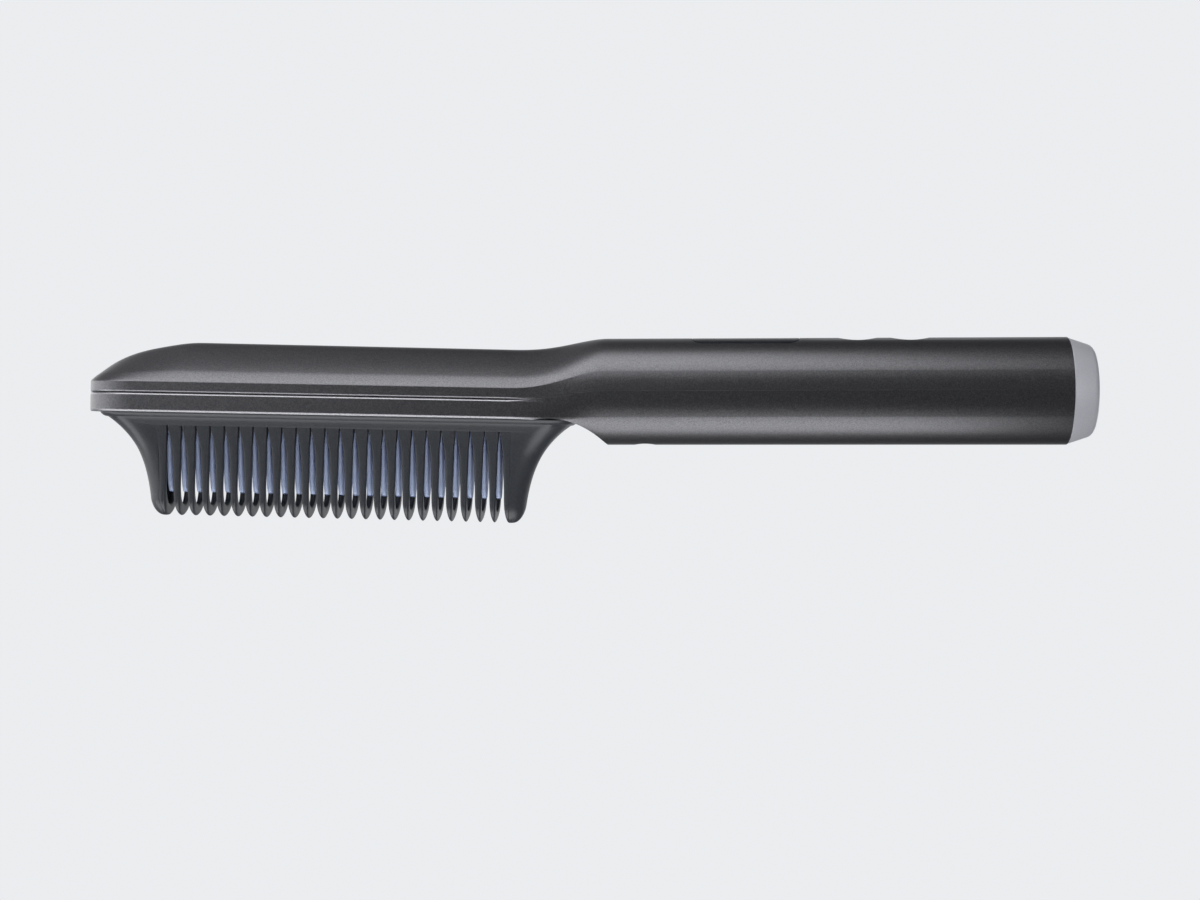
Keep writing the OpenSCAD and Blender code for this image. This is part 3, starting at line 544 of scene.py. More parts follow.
def make_upper_cover(paint):
    """Upper shell. The order of its cuts matters: in others some of the exact cuts fail."""
    cover = new_piece("upper_shell", *loft(upper_rings(0, 0, 0)), paint)
    for at in BUTTON_AT.values():
        boolean(cover, tool(dish_tool(at)))
    boolean(cover, tool(loft(upper_rings(COVER_WALL, 1, 1))))
    for at in BUTTON_AT.values():
        boolean(cover, tool(cylinder_z(-at, 0, BUTTON_R + BUTTON_GAP, *TOP_CUT)))
    boolean(cover, lens_tool())
    boolean(cover, tool(slab(WINDOW_HALF_L, WINDOW_HALF_W, WINDOW_CORNER, *TOP_CUT,
                             lambda x, y, z: Vector((x, y, z)) - Vector((LENS_AT, 0, 0)))))
    finish_mesh(cover, paint, 30)
    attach(cover, "housing")
    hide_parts("upper_cover")


def scoop_centre():
    """Centre of the scoop's arc, from the grip's lower corner to the middle of the neck."""
    start = Vector((X_GRIP - 0.1, -GRIP_R))
    end = Vector((X_NECK + NECK_LENGTH / 2, BASE_Z - 0.3))
    chord = (start - end).length
    rise = math.sqrt(SCOOP_R ** 2 - chord ** 2 / 4)
    across = Vector((start.y - end.y, end.x - start.x))
    return (start + end) / 2 + across * rise / chord


LIP_HALF_L = ROW_HALF + 18.9
LIP_HALF_W = HEAD_HALF - 3
LIP_CORNER = 8
COLLAR_HALF_L = LIP_HALF_L - 3.8
COLLAR_HALF_W = LIP_HALF_W - 1.8
COLLAR_CORNER = 6
FIT = 0.15
PLATE_HALF_L = ROW_HALF + 4.25
PLATE_HALF_W = COLLAR_HALF_W - 1.75
PLATE_ROOM_HALF_L = ROW_HALF + 4.4
PLATE_ROOM_HALF_W = COLLAR_HALF_W - 1.6
PLATE_ROOM_TOP = 2
PLATE_CORNER = 2


def make_lower_cover(paint):
    """Lower shell. Here too the order of the cuts matters."""
    cover = new_piece("lower_shell", *loft(lower_rings(0, 0, 0)), paint)
    centre = scoop_centre()
    boolean(cover, tool(cylinder_y(centre.x, centre.y, SCOOP_R, 2 * GRIP_R, 720)))
    boolean(cover, tool(slab(LIP_HALF_L + FIT, LIP_HALF_W + FIT, LIP_CORNER, BASE_Z - GRIP_R,
                             BASE_Z - BAND_LOW + 0.01, from_row)))
    inner = new_piece("tool", *loft(lower_rings(COVER_WALL, 1, 1)), None)
    boolean(inner, tool(cylinder_y(centre.x, centre.y, SCOOP_R + SCOOP_WALL, 2 * GRIP_R)))
    boolean(cover, inner)
    boolean(cover, tool(slab(COLLAR_HALF_L + FIT, COLLAR_HALF_W + FIT, COLLAR_CORNER, BASE_Z - 1,
                             BASE_Z + 3, from_row)))
    boolean(cover, tool(cylinder_z(PLUG_AT, 0, PLUG_R + FIT, -2 * GRIP_R, PLUG_HOLE_TOP)))
    finish_mesh(cover, paint, 30)
    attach(cover, "housing")
    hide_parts("lower_cover")


# ---------- guard comb ----------
# Depths d are measured down from the lip's lower face.
FLARE_LENGTH = 10
SIDE_HALF_TOP = 9.6
SIDE_HALF_BOTTOM = 5.6
WALL_OUT = 17.1        # the end walls' outer faces past the last loop, at the lip
WALL_FLARE = 13.5      # how far they come in from there
TIP_OUT = 1.1          # their tips past the last loop
LIP_EDGE = [(1.72, 0.03), (1.3, 0.14), (0.85, 0.38), (0.45, 0.7), (0.15, 1.05), (0.0, 1.4)]  # inset, height


def flare(d):
    return 1 - math.exp(-d / FLARE_LENGTH)


def tip_factor(d, depth, height):
    """Share of the width left at a depth, where the last part of the depth is rounded off."""
    if d < depth - height:
        return 1.0
    return math.sqrt(max(0.0, 1 - ((d - depth + height) / height) ** 2))


def side_half(d):
    return lerp(SIDE_HALF_TOP, SIDE_HALF_BOTTOM, flare(d) / flare(GUARD_DEPTH))


def guard_half_l(d):
    wall = ROW_HALF + WALL_OUT - WALL_FLARE * flare(d)
    tip = ROW_HALF + TIP_OUT
    return tip + (wall - tip) * tip_factor(d, GUARD_DEPTH, TIP_ROUND)


def guard_half_w(d):
    return max(0.9, side_half(d) * tip_factor(d, GUARD_DEPTH, TIP_ROUND))


def room_half(d):
    return (side_half(d) - LEG_THICKNESS) * tip_factor(d, ROOM_BOTTOM, ROOM_ROUND)


def slot_half(d):
    """Half of the slot between two loops: pointed at its top, then straight, then opening round."""
    point = 0.62 * (1 - smooth(clamp01((d - SLOT_TOP) / 5)))
    straight = (lerp(0.9, 2.3, clamp01(d / SLOT_STRAIGHT)) - point) / 2
    u = clamp01((d - SLOT_STRAIGHT) / (GUARD_DEPTH + 0.15 - SLOT_STRAIGHT))
    return LOOP_PITCH / 2 - (LOOP_PITCH / 2 - straight) * math.sqrt(1 - u * u)


def leg_half(d):
    """Half of a loop's width along the row."""
    return LOOP_PITCH / 2 - slot_half(d)


def guard_plan(half_l, half_w, radius, z):
    return [from_row(x, y, z) for x, y in rounded_plan(half_l, half_w, radius)]


def make_guard_body(plastic):
    """The guard's lip, its solid band and its two flared end walls."""
    tip_depths = [GUARD_DEPTH - TIP_ROUND * (1 - math.sin(math.pi / 2 * k / 12))
                  for k in range(12, -1, -1)]
    wall_depths = [GUARD_DEPTH - TIP_ROUND - 0.8 * k for k in range(1, 30)]
    depths = tip_depths + [d for d in wall_depths if d > 0.3] + [0]
    rings = []
    for d in depths:
        w = guard_half_w(d)
        rings.append(guard_plan(guard_half_l(d), w, min(0.98 * w, 7), LIP_Z - d))
    rings += [guard_plan(LIP_HALF_L - inset, LIP_HALF_W - inset, LIP_CORNER - inset, LIP_Z + up)
              for inset, up in LIP_EDGE]
    body = new_piece("guard_body", *loft(rings), plastic)
    boolean(body, tool(slots_outline()))
    boolean(body, tool(room_outline()))
    boolean(body, tool(slab(PLATE_ROOM_HALF_L, PLATE_ROOM_HALF_W, PLATE_CORNER,
                            PLATE_Z, PLATE_ROOM_TOP, from_row)))
    rounded_edges(body, 0.3, 65)
    finish_mesh(body, plastic, 40)
    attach(body, "housing")
    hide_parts("guard_comb")


def slots_outline():
    """Space between the end walls, under the solid band, which the separate loops then fill."""
    depths = [SLOT_TOP + k * (GUARD_DEPTH + 1 - SLOT_TOP) / 24 for k in range(25)]
    right = [(ROW_HALF + 0.72 * leg_half(min(d, GUARD_DEPTH - 0.3)), LIP_Z - d) for d in depths]
    outline = right + [(-x, z) for x, z in reversed(right)]
    return loft([[from_row(x, y, z) for x, z in outline] for y in (-4 * GRIP_R, 4 * GRIP_R)])


def room_outline():
    """Space inside the loops, run along the whole row."""
    straight = ROOM_BOTTOM - ROOM_ROUND
    depths = [straight * k / 36 for k in range(36)]
    depths += [straight + ROOM_ROUND * math.sin(math.pi / 2 * k / 12) for k in range(13)]
    right = [(room_half(0), PLATE_Z + 1)] + [(room_half(d), LIP_Z - d) for d in depths]
    outline = right + [(-y, z) for y, z in reversed(right[:-1])]
    end = ROW_HALF + ROOM_END
    return loft([[from_row(x, y, z) for y, z in outline] for x in (-end, end)])


def squared(value, power):
    """Sine or cosine of a rounded square: the more power, the squarer it is."""
    return math.copysign(abs(value) ** (2 / power), value)


def make_loops(plastic):
    """The row of U-shaped loops: one is swept along its U, and the rest are repeats along the row."""
    top = SLOT_TOP - 1.2
    leg_steps = 26
    bend_steps = 14
    path = []
    for k in range(leg_steps):
        t = k / leg_steps
        d_out = lerp(top, GUARD_DEPTH - TIP_ROUND, t)
        d_in = lerp(top, ROOM_BOTTOM - ROOM_ROUND, t)
        path.append((side_half(d_out), d_out, room_half(d_in), d_in))
    for k in range(bend_steps + 1):
        a = math.pi / 2 * k / bend_steps
        d_out = GUARD_DEPTH - TIP_ROUND * (1 - math.sin(a))
        d_in = ROOM_BOTTOM - ROOM_ROUND * (1 - math.sin(a))
        path.append((side_half(d_out) * math.cos(a), d_out,
                     (side_half(d_in) - LEG_THICKNESS) * math.cos(a), d_in))
    whole = [(-y0, d0, -y1, d1) for y0, d0, y1, d1 in path] + list(reversed(path[:-1]))
    section_steps = 28
    rings = []
    for y_out, d_out, y_in, d_in in whole:
        shown = smooth(clamp01((d_out - SLOT_TOP) / 7))
        power = lerp(16, 3.2, shown)
        ring = []
        for k in range(section_steps):
            a = 2 * math.pi * k / section_steps
            n = 0.5 + 0.5 * squared(math.sin(a), power)
            n = lerp(0.03, 0.985 if d_out < SLOT_TOP else 1.0, n)
            d = lerp(d_in, d_out, n)
            half = leg_half(max(d, SLOT_TOP + 0.2)) * squared(math.cos(a), power)
            ring.append(from_row(half - ROW_HALF, lerp(y_in, y_out, n), LIP_Z - d))
        rings.append(ring)
    loop = new_piece("guard_loops", *loft(rings), plastic)
    row = repeat_along_row(loop, plastic)
    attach(row, "housing")


def repeat_along_row(piece, material):
    """Repeats a piece LOOP_COUNT times, LOOP_PITCH apart, along the tilted row."""
    tree = bpy.data.node_groups.new(piece.name + "_row", "GeometryNodeTree")
    face = tree.interface
    face.new_socket("Geometry", in_out="INPUT", socket_type="NodeSocketGeometry")
    count = face.new_socket("Count", in_out="INPUT", socket_type="NodeSocketInt")
    step = face.new_socket("Step", in_out="INPUT", socket_type="NodeSocketVector")
    face.new_socket("Geometry", in_out="OUTPUT", socket_type="NodeSocketGeometry")
    inside = tree.nodes.new("NodeGroupInput")
    line = tree.nodes.new("GeometryNodeMeshLine")
    line.mode = "OFFSET"
    copies = tree.nodes.new("GeometryNodeInstanceOnPoints")
    realize = tree.nodes.new("GeometryNodeRealizeInstances")
    paint = tree.nodes.new("GeometryNodeSetMaterial")
    paint.inputs["Material"].default_value = material
    outside = tree.nodes.new("NodeGroupOutput")
    link = tree.links.new
    link(inside.outputs["Count"], line.inputs["Count"])
    link(inside.outputs["Step"], line.inputs["Offset"])
    link(line.outputs["Mesh"], copies.inputs["Points"])
    link(inside.outputs["Geometry"], copies.inputs["Instance"])
    link(copies.outputs["Instances"], realize.inputs["Geometry"])
    link(realize.outputs["Geometry"], paint.inputs["Geometry"])
    link(paint.outputs["Geometry"], outside.inputs["Geometry"])
    repeat = piece.modifiers.new("row", "NODES")
    repeat.node_group = tree
    repeat[count.identifier] = LOOP_COUNT
    repeat[step.identifier] = (from_row(LOOP_PITCH, 0, 0) - from_row(0, 0, 0)) * MM
    return applied(piece)


# ---------- heated comb ----------
def fin_half(d):
    u = clamp01((d - FIN_DEPTH + FIN_TAPER) / FIN_TAPER)
    return (room_half(max(0.0, d)) - 0.9) * (0.25 + 0.75 * math.sqrt(1 - u * u))


def make_fins(coating):
    """The row of fins, each with a small rounded tip, and the plate that carries them."""
    depths = [-FIN_ROOT] + [k * 0.9 for k in range(13)]
    depths += [FIN_DEPTH - FIN_TAPER * (1 - math.sin(math.pi / 2 * k / 16)) for k in range(1, 17)]
    thick = FIN_THICKNESS / 2
    tip_steps = 4
    rings = [(fin_half(d), thick, d) for d in depths]
    for k in range(1, tip_steps + 1):
        a = math.pi / 2 * k / tip_steps
        rings.append((fin_half(FIN_DEPTH) - 0.35 * (1 - math.cos(a)), thick * lerp(1, math.cos(a), 0.7),
                      FIN_DEPTH - 0.3 + 0.3 * math.sin(a)))
    rings = [r for r in rings if r[2] != FIN_DEPTH or r is rings[-1]]
    placed = []
    for half, t, d in sorted(rings, key=lambda r: r[2]):
        placed.append([from_row(FIN_STEP - ROW_HALF + x, y, LIP_Z - d)
                       for x, y in rounded_plan(t, half, min(0.62, 0.95 * t, 0.95 * half), 5)])
    fin = new_piece("heated_fins", *loft(placed), coating)
    row = repeat_along_row(fin, coating)
    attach(row, "housing")
    plate = new_piece("heated_plate", *slab(PLATE_HALF_L, PLATE_HALF_W, PLATE_CORNER,
                                            PLATE_Z, PLATE_TOP, from_row), coating)
    rounded_edges(plate, 0.2, 50)
    finish_mesh(plate, coating)
    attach(plate, "housing")
    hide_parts("heater_comb")


# ---------- cord end, lens, buttons, plug ----------
RING_END_R = 12.7
RING_CORNER = 1.8
RING_OPEN_R = RING_END_R - 2.9


def make_end_ring(finish):
    """Tapered ring, with the spigot that goes into the covers."""
    step_r = RING_OPEN_R + 1.4
    spigot_r = GRIP_R - COVER_WALL - 0.2
    spigot_x = X_RING - 4.4
    corners = [(X_RING + 0.1, GRIP_R - 0.15, 0.25), (-0.35, RING_END_R + 0.05, 1.5), (0, RING_OPEN_R, 0.25),
               (-3, RING_OPEN_R, 0), (-3, step_r, 0), (spigot_x, step_r, 0),
               (spigot_x, spigot_r, 0), (X_RING + 0.1, spigot_r, 0)]
    ring = new_piece("grip_end_ring", *turned(rounded_profile(corners), 224), finish)
    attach(ring, "housing")
    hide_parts("end_ring")


def make_lens(tint):
    """Lens: its plan laid on the grip's round surface, with a small rounded rim."""
    def ring(shrink, drop):
        half_w = LENS_HALF_W - shrink
        corner = min(max(LENS_CORNER - shrink, 0.02), 0.9 * half_w)
        plan = with_sides(rounded_plan(LENS_HALF_L - shrink, half_w, corner), 12)
        return [(x - LENS_AT, y, round_height(GRIP_R - drop, y)) for x, y in plan]
    rim = 0.22
    rings = [ring(0, LENS_THICKNESS), ring(0, rim)]
    rings += [ring(rim * (1 - math.cos(a)), rim * (1 - math.sin(a)))
              for a in (math.pi / 2 * k / 4 for k in range(1, 5))]
    rings += [ring(shrink, 0) for shrink in (0.8, 1.6, 2.4, 3.2, 4.0, 4.8, 5.6, 6.4, 7.0, 7.46)]
    under = [ring(shrink, LENS_THICKNESS) for shrink in (7.46, 6, 4.5, 3, 1.5)]
    lens = new_piece("display_window", *loft(under + rings), tint)
    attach(lens, "housing")
    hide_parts("display_lens")


def make_button(node, paint):
    """Button cap that carries the finger dish on, never above the grip, with its flange and its stem."""
    at = BUTTON_AT[node]
    low = box_mm(node)[0]
    flange_r = BUTTON_R + 1.2
    rim = 0.3
    stem_r = 1.6
    under, over = low.z + 1.6, low.z + 2.6
    radii = [(stem_r, low.z), (stem_r, under), (flange_r, under), (flange_r, over), (BUTTON_R, over)]

    def dish(x, y):
        return DISH_Z - round_height(DISH_R, x)

    def ring(radius, height):
        return [(x - at, y, height(x, y)) for x, y in circle(0, 0, radius, ROUND_STEPS)]
    rings = [ring(radius, lambda x, y, z=z: z) for radius, z in radii]
    for k in range(5):
        a = math.pi / 2 * k / 4
        rings.append(ring(BUTTON_R - rim * (1 - math.cos(a)),
                          lambda x, y, a=a: min(dish(x, y), round_height(GRIP_R, y))
                          - rim * (1 - math.sin(a))))
    for share in (0.8, 0.6, 0.4, 0.2, 0.02):
        rings.append(ring(BUTTON_R * share, dish))
    cap = new_piece(node + "_cap", *loft(rings), paint)
    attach(cap, node)
    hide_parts(node)


def make_plug(paint):
    face = GRIP_R - PLUG_SINK
    rings = [[(PLUG_AT + x, y, PLUG_INNER) for x, y in circle(0, 0, PLUG_R, 64)]]
    for radius, sink in ((PLUG_R, 0.15), (PLUG_R - 0.15, 0), (PLUG_R * 0.6, 0), (0.02, 0)):
        rings.append([(PLUG_AT + x, y, -round_height(face, y) + sink) for x, y in circle(0, 0, radius, 64)])
    plug = new_piece("grip_plug", *loft(rings), paint)
    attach(plug, "housing")
    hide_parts("screw_plug")


# ---------- materials ----------
def shader_nodes(name):
    material = bpy.data.materials.new(name)
    material.use_nodes = True
    tree = material.node_tree
    place = tree.nodes.new("ShaderNodeTexCoord").outputs["Object"]
    return material, tree, tree.nodes["Principled BSDF"], place


def feed(tree, socket, value):
    """Links an output to the socket, or sets the socket's own value."""
    if isinstance(value, bpy.types.NodeSocket):
        tree.links.new(value, socket)
    else:
        socket.default_value = value


def calculated(tree, operation, *values):
    """Result of a Math node."""
    node = tree.nodes.new("ShaderNodeMath")
    node.operation = operation
    for socket, value in zip(node.inputs, values):
        feed(tree, socket, value)
    return node.outputs[0]


def blended(tree, share, first, second, blend="MIX"):
    """Colour of a Mix node, whose colour sockets are the inputs 6 and 7 and the output 2."""
    node = tree.nodes.new("ShaderNodeMix")
    node.data_type = "RGBA"
    node.blend_type = blend
    for index, value in ((0, share), (6, first), (7, second)):
        feed(tree, node.inputs[index], value)
    return node.outputs[2]


def axes(tree, place):
    """The X, Y and Z of a place."""
    node = tree.nodes.new("ShaderNodeSeparateXYZ")
    tree.links.new(place, node.inputs["Vector"])
    return node.outputs


def noise(tree, place, size, detail=3.0, stretch=(1, 1, 1)):
    """Noise whose grain is about size millimetres, longer along an axis by its stretch."""
    mapping = tree.nodes.new("ShaderNodeMapping")
    mapping.inputs["Scale"].default_value = [1 / s for s in stretch]
    tree.links.new(place, mapping.inputs["Vector"])
    node = tree.nodes.new("ShaderNodeTexNoise")
    node.inputs["Scale"].default_value = 1 / (size * MM)
    node.inputs["Detail"].default_value = detail
    tree.links.new(mapping.outputs["Vector"], node.inputs["Vector"])
    return node.outputs["Fac"]


def ramp(tree, factor, low, high, colours):
    """Colour that runs from the first to the second as the factor goes from low to high."""
    node = tree.nodes.new("ShaderNodeValToRGB")
    node.color_ramp.elements[0].position = low
    node.color_ramp.elements[0].color = (*colours[0], 1)
    node.color_ramp.elements[1].position = high
    node.color_ramp.elements[1].color = (*colours[1], 1)
    tree.links.new(factor, node.inputs["Fac"])
    return node.outputs["Color"]


def span(tree, factor, low, high, to_low, to_high):
    """Number that runs from to_low to to_high as the factor goes from low to high."""
    node = tree.nodes.new("ShaderNodeMapRange")
    for name, value in zip(("From Min", "From Max", "To Min", "To Max"), (low, high, to_low, to_high)):
        node.inputs[name].default_value = value
    tree.links.new(factor, node.inputs["Value"])
    return node.outputs["Result"]


def bump(tree, shader, height, strength, distance):
    node = tree.nodes.new("ShaderNodeBump")
    node.inputs["Strength"].default_value = strength
    node.inputs["Distance"].default_value = distance * MM
    tree.links.new(height, node.inputs["Height"])
    tree.links.new(node.outputs["Normal"], shader.inputs["Normal"])


def grained(name, dark, light, grain, roughness, metallic=0.0, relief=0.02, stretch=(1, 1, 1)):
    """Plain finish: two near colours in a fine grain, which also varies the roughness and the relief."""
    material, tree, shader, place = shader_nodes(name)
    fine = noise(tree, place, grain, 4, stretch)
    tree.links.new(ramp(tree, fine, 0.35, 0.65, (dark, light)), shader.inputs["Base Color"])
    tree.links.new(span(tree, fine, 0.3, 0.7, roughness - 0.04, roughness + 0.04),
                   shader.inputs["Roughness"])
    shader.inputs["Metallic"].default_value = metallic
    bump(tree, shader, fine, 0.5, relief)
    return material


def painted_edge_highlight(tree, place, colour):
    """Paints highlights into the paint's colour on the chamfers along the head's seam and lower edge, fading
    out along the neck.
    """
    head = tree.nodes.new("ShaderNodeMapping")
    head.vector_type = "TEXTURE"
    head.inputs["Location"].default_value = (X_NECK * MM, 0, 0)
    head.inputs["Rotation"].default_value = (0, HEAD_TILT, 0)
    tree.links.new(place, head.inputs["Vector"])
    x, _, z = axes(tree, head.outputs["Vector"])
    seam, base = SEAM_Z - SEAM_LOW, BASE_Z - BAND_LOW
    low, high = base - 1, seam + 2
    highlight_lines = tree.nodes.new("ShaderNodeValToRGB")
    tree.links.new(span(tree, z, low * MM, high * MM, 0, 1), highlight_lines.inputs["Fac"])
    # Strength of the painted highlight by height: on the band's lower chamfer, and on the chamfers below and
    # above the seam
    stops = [(base - 0.15, 0), (base - 0.05, 0.75), (base + 0.6, 0.75), (base + 0.7, 0), (seam - 0.7, 0),
             (seam - 0.62, 1), (seam, 1), (seam + 0.05, 0.65), (seam + 0.6, 0.65), (seam + 0.7, 0)]
    elements = highlight_lines.color_ramp.elements
    while len(elements) < len(stops):
        elements.new(0.5)
    for element, (height, value) in zip(elements, stops):
        element.position = (height - low) / (high - low)
        element.color = (value, value, value, 1)
    # The painted highlight is full over the head and fades out over the first part of the neck
    painted_highlight = calculated(tree, "MULTIPLY", highlight_lines.outputs["Color"], span(tree, x, 2 * MM, 12 * MM, 1.5, 0))
    highlighted_colour = tree.nodes.new("ShaderNodeVectorMath")
    highlighted_colour.operation = "SCALE"
    tree.links.new(colour, highlighted_colour.inputs[0])
    tree.links.new(calculated(tree, "ADD", painted_highlight, 1), highlighted_colour.inputs["Scale"])
    return highlighted_colour.outputs["Vector"]


def flake_paint(name, dark, light, roughness, metallic, edges=False):
    """Satin paint with fine metal flakes of slightly different brightness, and painted highlights on its edge
    chamfers if wanted.
    """
    material, tree, shader, place = shader_nodes(name)
    flakes = tree.nodes.new("ShaderNodeTexVoronoi")
    flakes.inputs["Scale"].default_value = 1 / (FLAKE * MM)
    tree.links.new(place, flakes.inputs["Vector"])
    grey = tree.nodes.new("ShaderNodeSeparateColor")
    tree.links.new(flakes.outputs["Color"], grey.inputs["Color"])
    cloud = noise(tree, place, 0.45, 2)
    speckled = calculated(tree, "MULTIPLY_ADD", grey.outputs["Red"], 0.45, cloud)
    colour = ramp(tree, speckled, 0.45, 1.0, (dark, light))
    # edges adds painted highlights to the colour along the seam's and the band's chamfers
    tree.links.new(painted_edge_highlight(tree, place, colour) if edges else colour, shader.inputs["Base Color"])
    tree.links.new(span(tree, cloud, 0.3, 0.7, roughness - 0.03, roughness + 0.03),
                   shader.inputs["Roughness"])
    shader.inputs["Metallic"].default_value = metallic
    bump(tree, shader, grey.outputs["Green"], 0.22, 0.01)
    return material


def fin_coating(name, dark, light, roughness, metallic):
    """Pale coating, brushed along the fins, with painted shade that darkens it towards their roots."""
    material, tree, shader, place = shader_nodes(name)
    brushed = noise(tree, place, 0.45, 4, (1, 1, 9))
    coat = ramp(tree, brushed, 0.3, 0.7, (dark, light))
    # Painted shade: the colour darkens towards the fins' roots, which sit in shadow deep inside the loops
    root, tip = (LIP_Z - 3) * MM, (LIP_Z - FIN_DEPTH) * MM
    down = span(tree, axes(tree, place)["Z"], root, tip, 0, 1)
    painted_root_shade = ramp(tree, down, 0.0, 1.0, ((0.75, 0.75, 0.8), (1, 1, 1)))
    tree.links.new(blended(tree, 1, painted_root_shade, coat, "MULTIPLY"), shader.inputs["Base Color"])
    tree.links.new(span(tree, brushed, 0.3, 0.7, roughness - 0.05, roughness + 0.05),
                   shader.inputs["Roughness"])
    shader.inputs["Metallic"].default_value = metallic
    bump(tree, shader, brushed, 0.4, 0.01)
    return material


def lens_tint(name):
    """Dark tint whose gloss stays weak, so that its rim stays dark against a pale room."""
    material = grained(name, (0.010, 0.011, 0.014), (0.014, 0.015, 0.018), 3.0, 0.24, 0.0, 0.002)
    material.node_tree.nodes["Principled BSDF"].inputs["Specular IOR Level"].default_value = 0.12
    return material


# Dark colour, light colour, roughness and metallic of the paint
PAINT = ((0.092, 0.092, 0.099), (0.156, 0.156, 0.165), 0.36, 0.92)
FLAKE = 0.11

# Dark colour, light colour, grain, roughness, and where it isn't plain its metallic and relief
PLAIN_FINISHES = {
    "guard_plastic": ((0.020, 0.022, 0.026), (0.031, 0.034, 0.040), 0.35, 0.38),
    "ring_finish": ((0.47, 0.475, 0.51), (0.53, 0.535, 0.57), 0.25, 0.42, 0.4, 0.01),
    "dark_plastic": ((0.022, 0.022, 0.024), (0.034, 0.034, 0.036), 0.3, 0.45),
    "frame_plastic": ((0.07, 0.07, 0.075), (0.10, 0.10, 0.105), 0.3, 0.5),
    "steel": ((0.48, 0.48, 0.47), (0.60, 0.60, 0.59), 0.4, 0.3, 1.0, 0.01),
    "brass": ((0.62, 0.44, 0.18), (0.74, 0.54, 0.25), 0.4, 0.28, 1.0, 0.01),
    "ceramic_body": ((0.62, 0.60, 0.56), (0.72, 0.70, 0.66), 0.5, 0.6),
    "film": ((0.55, 0.28, 0.05), (0.66, 0.36, 0.09), 1.0, 0.25),
    "board": ((0.01, 0.10, 0.04), (0.02, 0.15, 0.06), 0.8, 0.4),
    "component_body": ((0.02, 0.02, 0.022), (0.035, 0.035, 0.038), 0.4, 0.5),
    "wire_jacket": ((0.35, 0.03, 0.02), (0.45, 0.05, 0.03), 0.6, 0.45),
    "foam": ((0.03, 0.03, 0.03), (0.06, 0.06, 0.06), 0.3, 0.9, 0.0, 0.08),
    "switch_button": ((0.62, 0.58, 0.48), (0.72, 0.68, 0.58), 0.5, 0.5),
}


def make_materials():
    """All the finishes by their slots' names."""
    materials = {name: grained(name, *look) for name, look in PLAIN_FINISHES.items()}
    # The covers' paint carries painted highlights on the chamfers of their seam and lower edge
    materials["cover_paint"] = flake_paint("cover_paint", *PAINT, edges=True)
    materials["button_paint"] = flake_paint("button_paint", *PAINT)
    materials["fin_coating"] = fin_coating("fin_coating", (0.46, 0.56, 0.80), (0.62, 0.71, 0.95), 0.42, 0.1)
    materials["lens_tint"] = lens_tint("lens_tint")
    return materials


def finish_kept_nodes(materials):
    """Gives each node that stays in view of the assembly its finish, by its slot."""
    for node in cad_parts.values():
        for place in node.material_slots:
            place.material = materials[place.material.name.split(".")[0]]


# ---------- stage ----------
PALE = (0.83, 0.845, 0.865)
DIM = (0.05, 0.05, 0.055)
FLOOR_Z = -250


def glowing(tree, surface, share, colour):
    """The surface with a share of plain glow mixed into it."""
    glow = tree.nodes.new("ShaderNodeEmission")
    feed(tree, glow.inputs["Color"], colour)
    mix = tree.nodes.new("ShaderNodeMixShader")
    for index, value in enumerate((share, surface, glow.outputs["Emission"])):
        tree.links.new(value, mix.inputs[index])
    return mix.outputs["Shader"]


def floor_material():
    """Matt floor that fades into the background away from the comb, and in gloss is pale only far off."""
    material, tree, shader, place = shader_nodes("pale_floor")
    soft = noise(tree, place, 40, 2)
    tree.links.new(ramp(tree, soft, 0.3, 0.7, ((0.50, 0.51, 0.53), (0.53, 0.54, 0.56))),
                   shader.inputs["Base Color"])
    shader.inputs["Roughness"].default_value = 0.9
    shader.inputs["Specular IOR Level"].default_value = 0.1
    distance = tree.nodes.new("ShaderNodeVectorMath")
    distance.operation = "DISTANCE"
    distance.inputs[1].default_value = Vector((-140, 60, FLOOR_Z)) * MM
    tree.links.new(place, distance.inputs[0])
    away = span(tree, distance.outputs["Value"], 0.1, 0.32, 0, 1)
    path = tree.nodes.new("ShaderNodeLightPath").outputs
    faded = glowing(tree, shader.outputs["BSDF"], calculated(tree, "MULTIPLY", path["Is Camera Ray"], away),
                    (*PALE, 1))
    x, y, _ = axes(tree, place)
    far = calculated(tree, "MAXIMUM", span(tree, y, 0.3, 1.2, 0, 1), span(tree, x, -0.5, -1.1, 0, 1))
    surface = glowing(tree, faded, path["Is Glossy Ray"], ramp(tree, far, 0.0, 1.0, (DIM, PALE)))
    tree.links.new(surface, tree.nodes["Material Output"].inputs["Surface"])
    return material


def add_floor():
    half = 3000
    mesh = bpy.data.meshes.new("floor")
    corners = [(-half, -half, FLOOR_Z), (half, -half, FLOOR_Z), (half, half, FLOOR_Z), (-half, half, FLOOR_Z)]
    mesh.from_pydata([Vector(p) * MM for p in corners], [], [(0, 1, 2, 3)])
    floor = bpy.data.objects.new("floor", mesh)
    bpy.context.scene.collection.objects.link(floor)
    mesh.materials.append(floor_material())


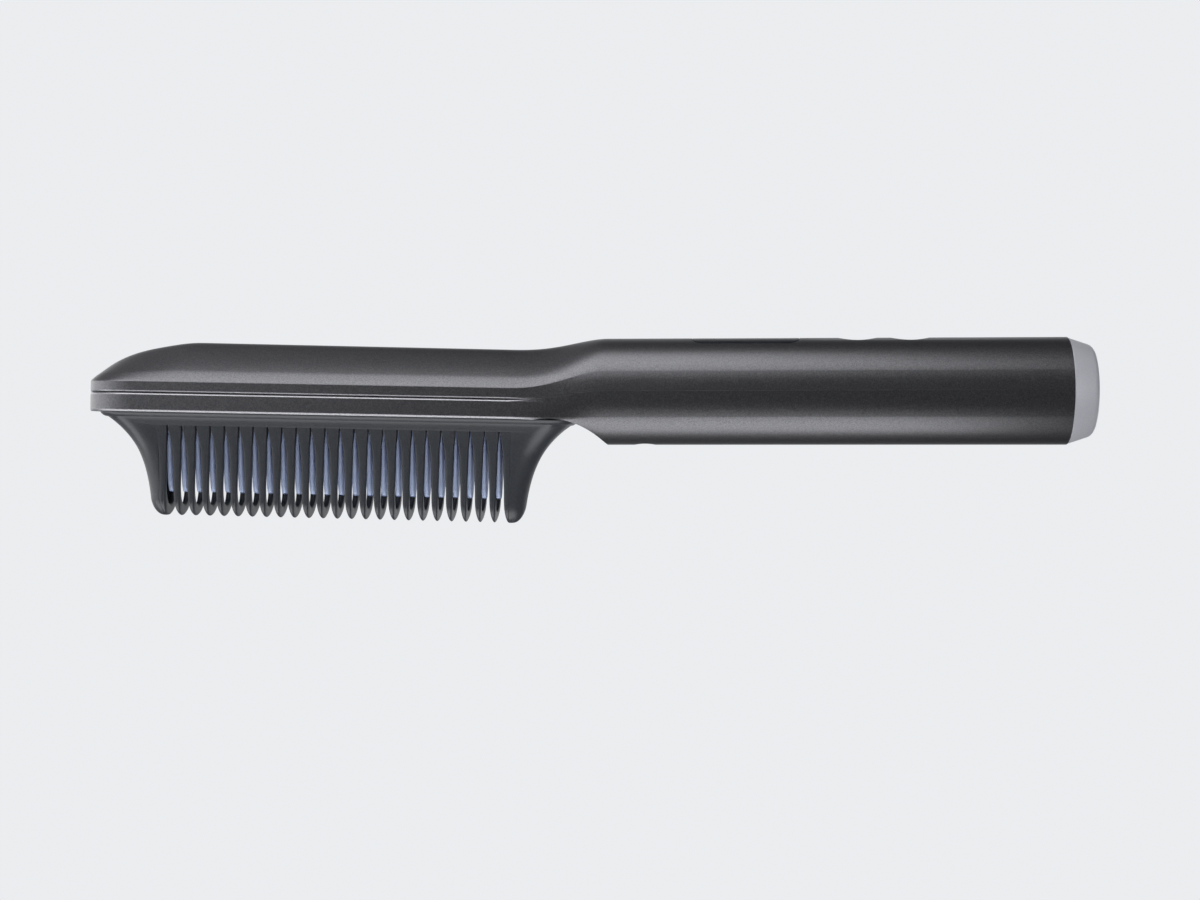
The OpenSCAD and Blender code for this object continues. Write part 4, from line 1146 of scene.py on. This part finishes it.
def add_world():
    """Pale to the camera, an even grey as fill, and in gloss a dim room that is pale behind and left."""
    world = bpy.data.worlds.new("surround")
    bpy.context.scene.world = world
    world.use_nodes = True
    tree = world.node_tree
    x, y, z = axes(tree, tree.nodes.new("ShaderNodeTexCoord").outputs["Generated"])
    behind = ramp(tree, y, 0.7, 0.985, (DIM, PALE))
    side = ramp(tree, span(tree, x, -0.06, -0.45, 0, 1), 0.0, 1.0, ((0, 0, 0), (0.24, 0.24, 0.25)))
    left = calculated(tree, "MULTIPLY", span(tree, x, -0.33, -0.95, 0, 2.2), span(tree, z, 0.2, 0.5, 1, 0))
    room = blended(tree, 1, blended(tree, 1, behind, side, "ADD"), left, "ADD")
    path = tree.nodes.new("ShaderNodeLightPath").outputs
    gloss = calculated(tree, "MAXIMUM", path["Is Glossy Ray"], path["Is Transmission Ray"])
    fill = blended(tree, gloss, (0.30, 0.31, 0.33, 1), room)
    seen = blended(tree, path["Is Camera Ray"], fill, (*PALE, 1))
    tree.links.new(seen, tree.nodes["Background"].inputs["Color"])


def add_light(name, size_x, size_y, place, target, power, swing=0, slide=0):
    """Softbox aimed at a target, then turned about its own axis and slid along its width."""
    data = bpy.data.lights.new(name, "AREA")
    data.shape = "RECTANGLE"
    data.size = size_x * MM
    data.size_y = size_y * MM
    data.energy = power
    light = bpy.data.objects.new(name, data)
    light.location = Vector(place) * MM
    aim = Vector(target) - Vector(place)
    light.rotation_euler = aim.to_track_quat("-Z", "Y").to_euler()
    light.rotation_euler.rotate_axis("Z", math.radians(swing))
    light.location += light.rotation_euler.to_matrix() @ Vector((slide * MM, 0, 0))
    light.visible_camera = False
    bpy.context.scene.collection.objects.link(light)
    return light


def add_lights():
    middle = (-150, 0, 0)
    add_light("overhead_softbox", 1020, 590, (-150, -290, 635), middle, 5.2, 16, -370)
    add_light("low_softbox", 772, 170, (-150, -50, -200), middle, 1.06, 0, -244)
    fill = add_light("front_fill", 900, 400, (250, -700, -20), middle, 3.4)
    fill.visible_glossy = False


# ---------- assembly ----------
add_camera()
materials = make_materials()
finish_kept_nodes(materials)
make_upper_cover(materials["cover_paint"])
make_lower_cover(materials["cover_paint"])
make_guard_body(materials["guard_plastic"])
make_loops(materials["guard_plastic"])
make_fins(materials["fin_coating"])
make_end_ring(materials["ring_finish"])
make_lens(materials["lens_tint"])
for button in BUTTON_AT:
    make_button(button, materials["button_paint"])
make_plug(materials["cover_paint"])
add_floor()
add_world()
add_lights()
bpy.context.scene.view_settings.view_transform = "Standard"
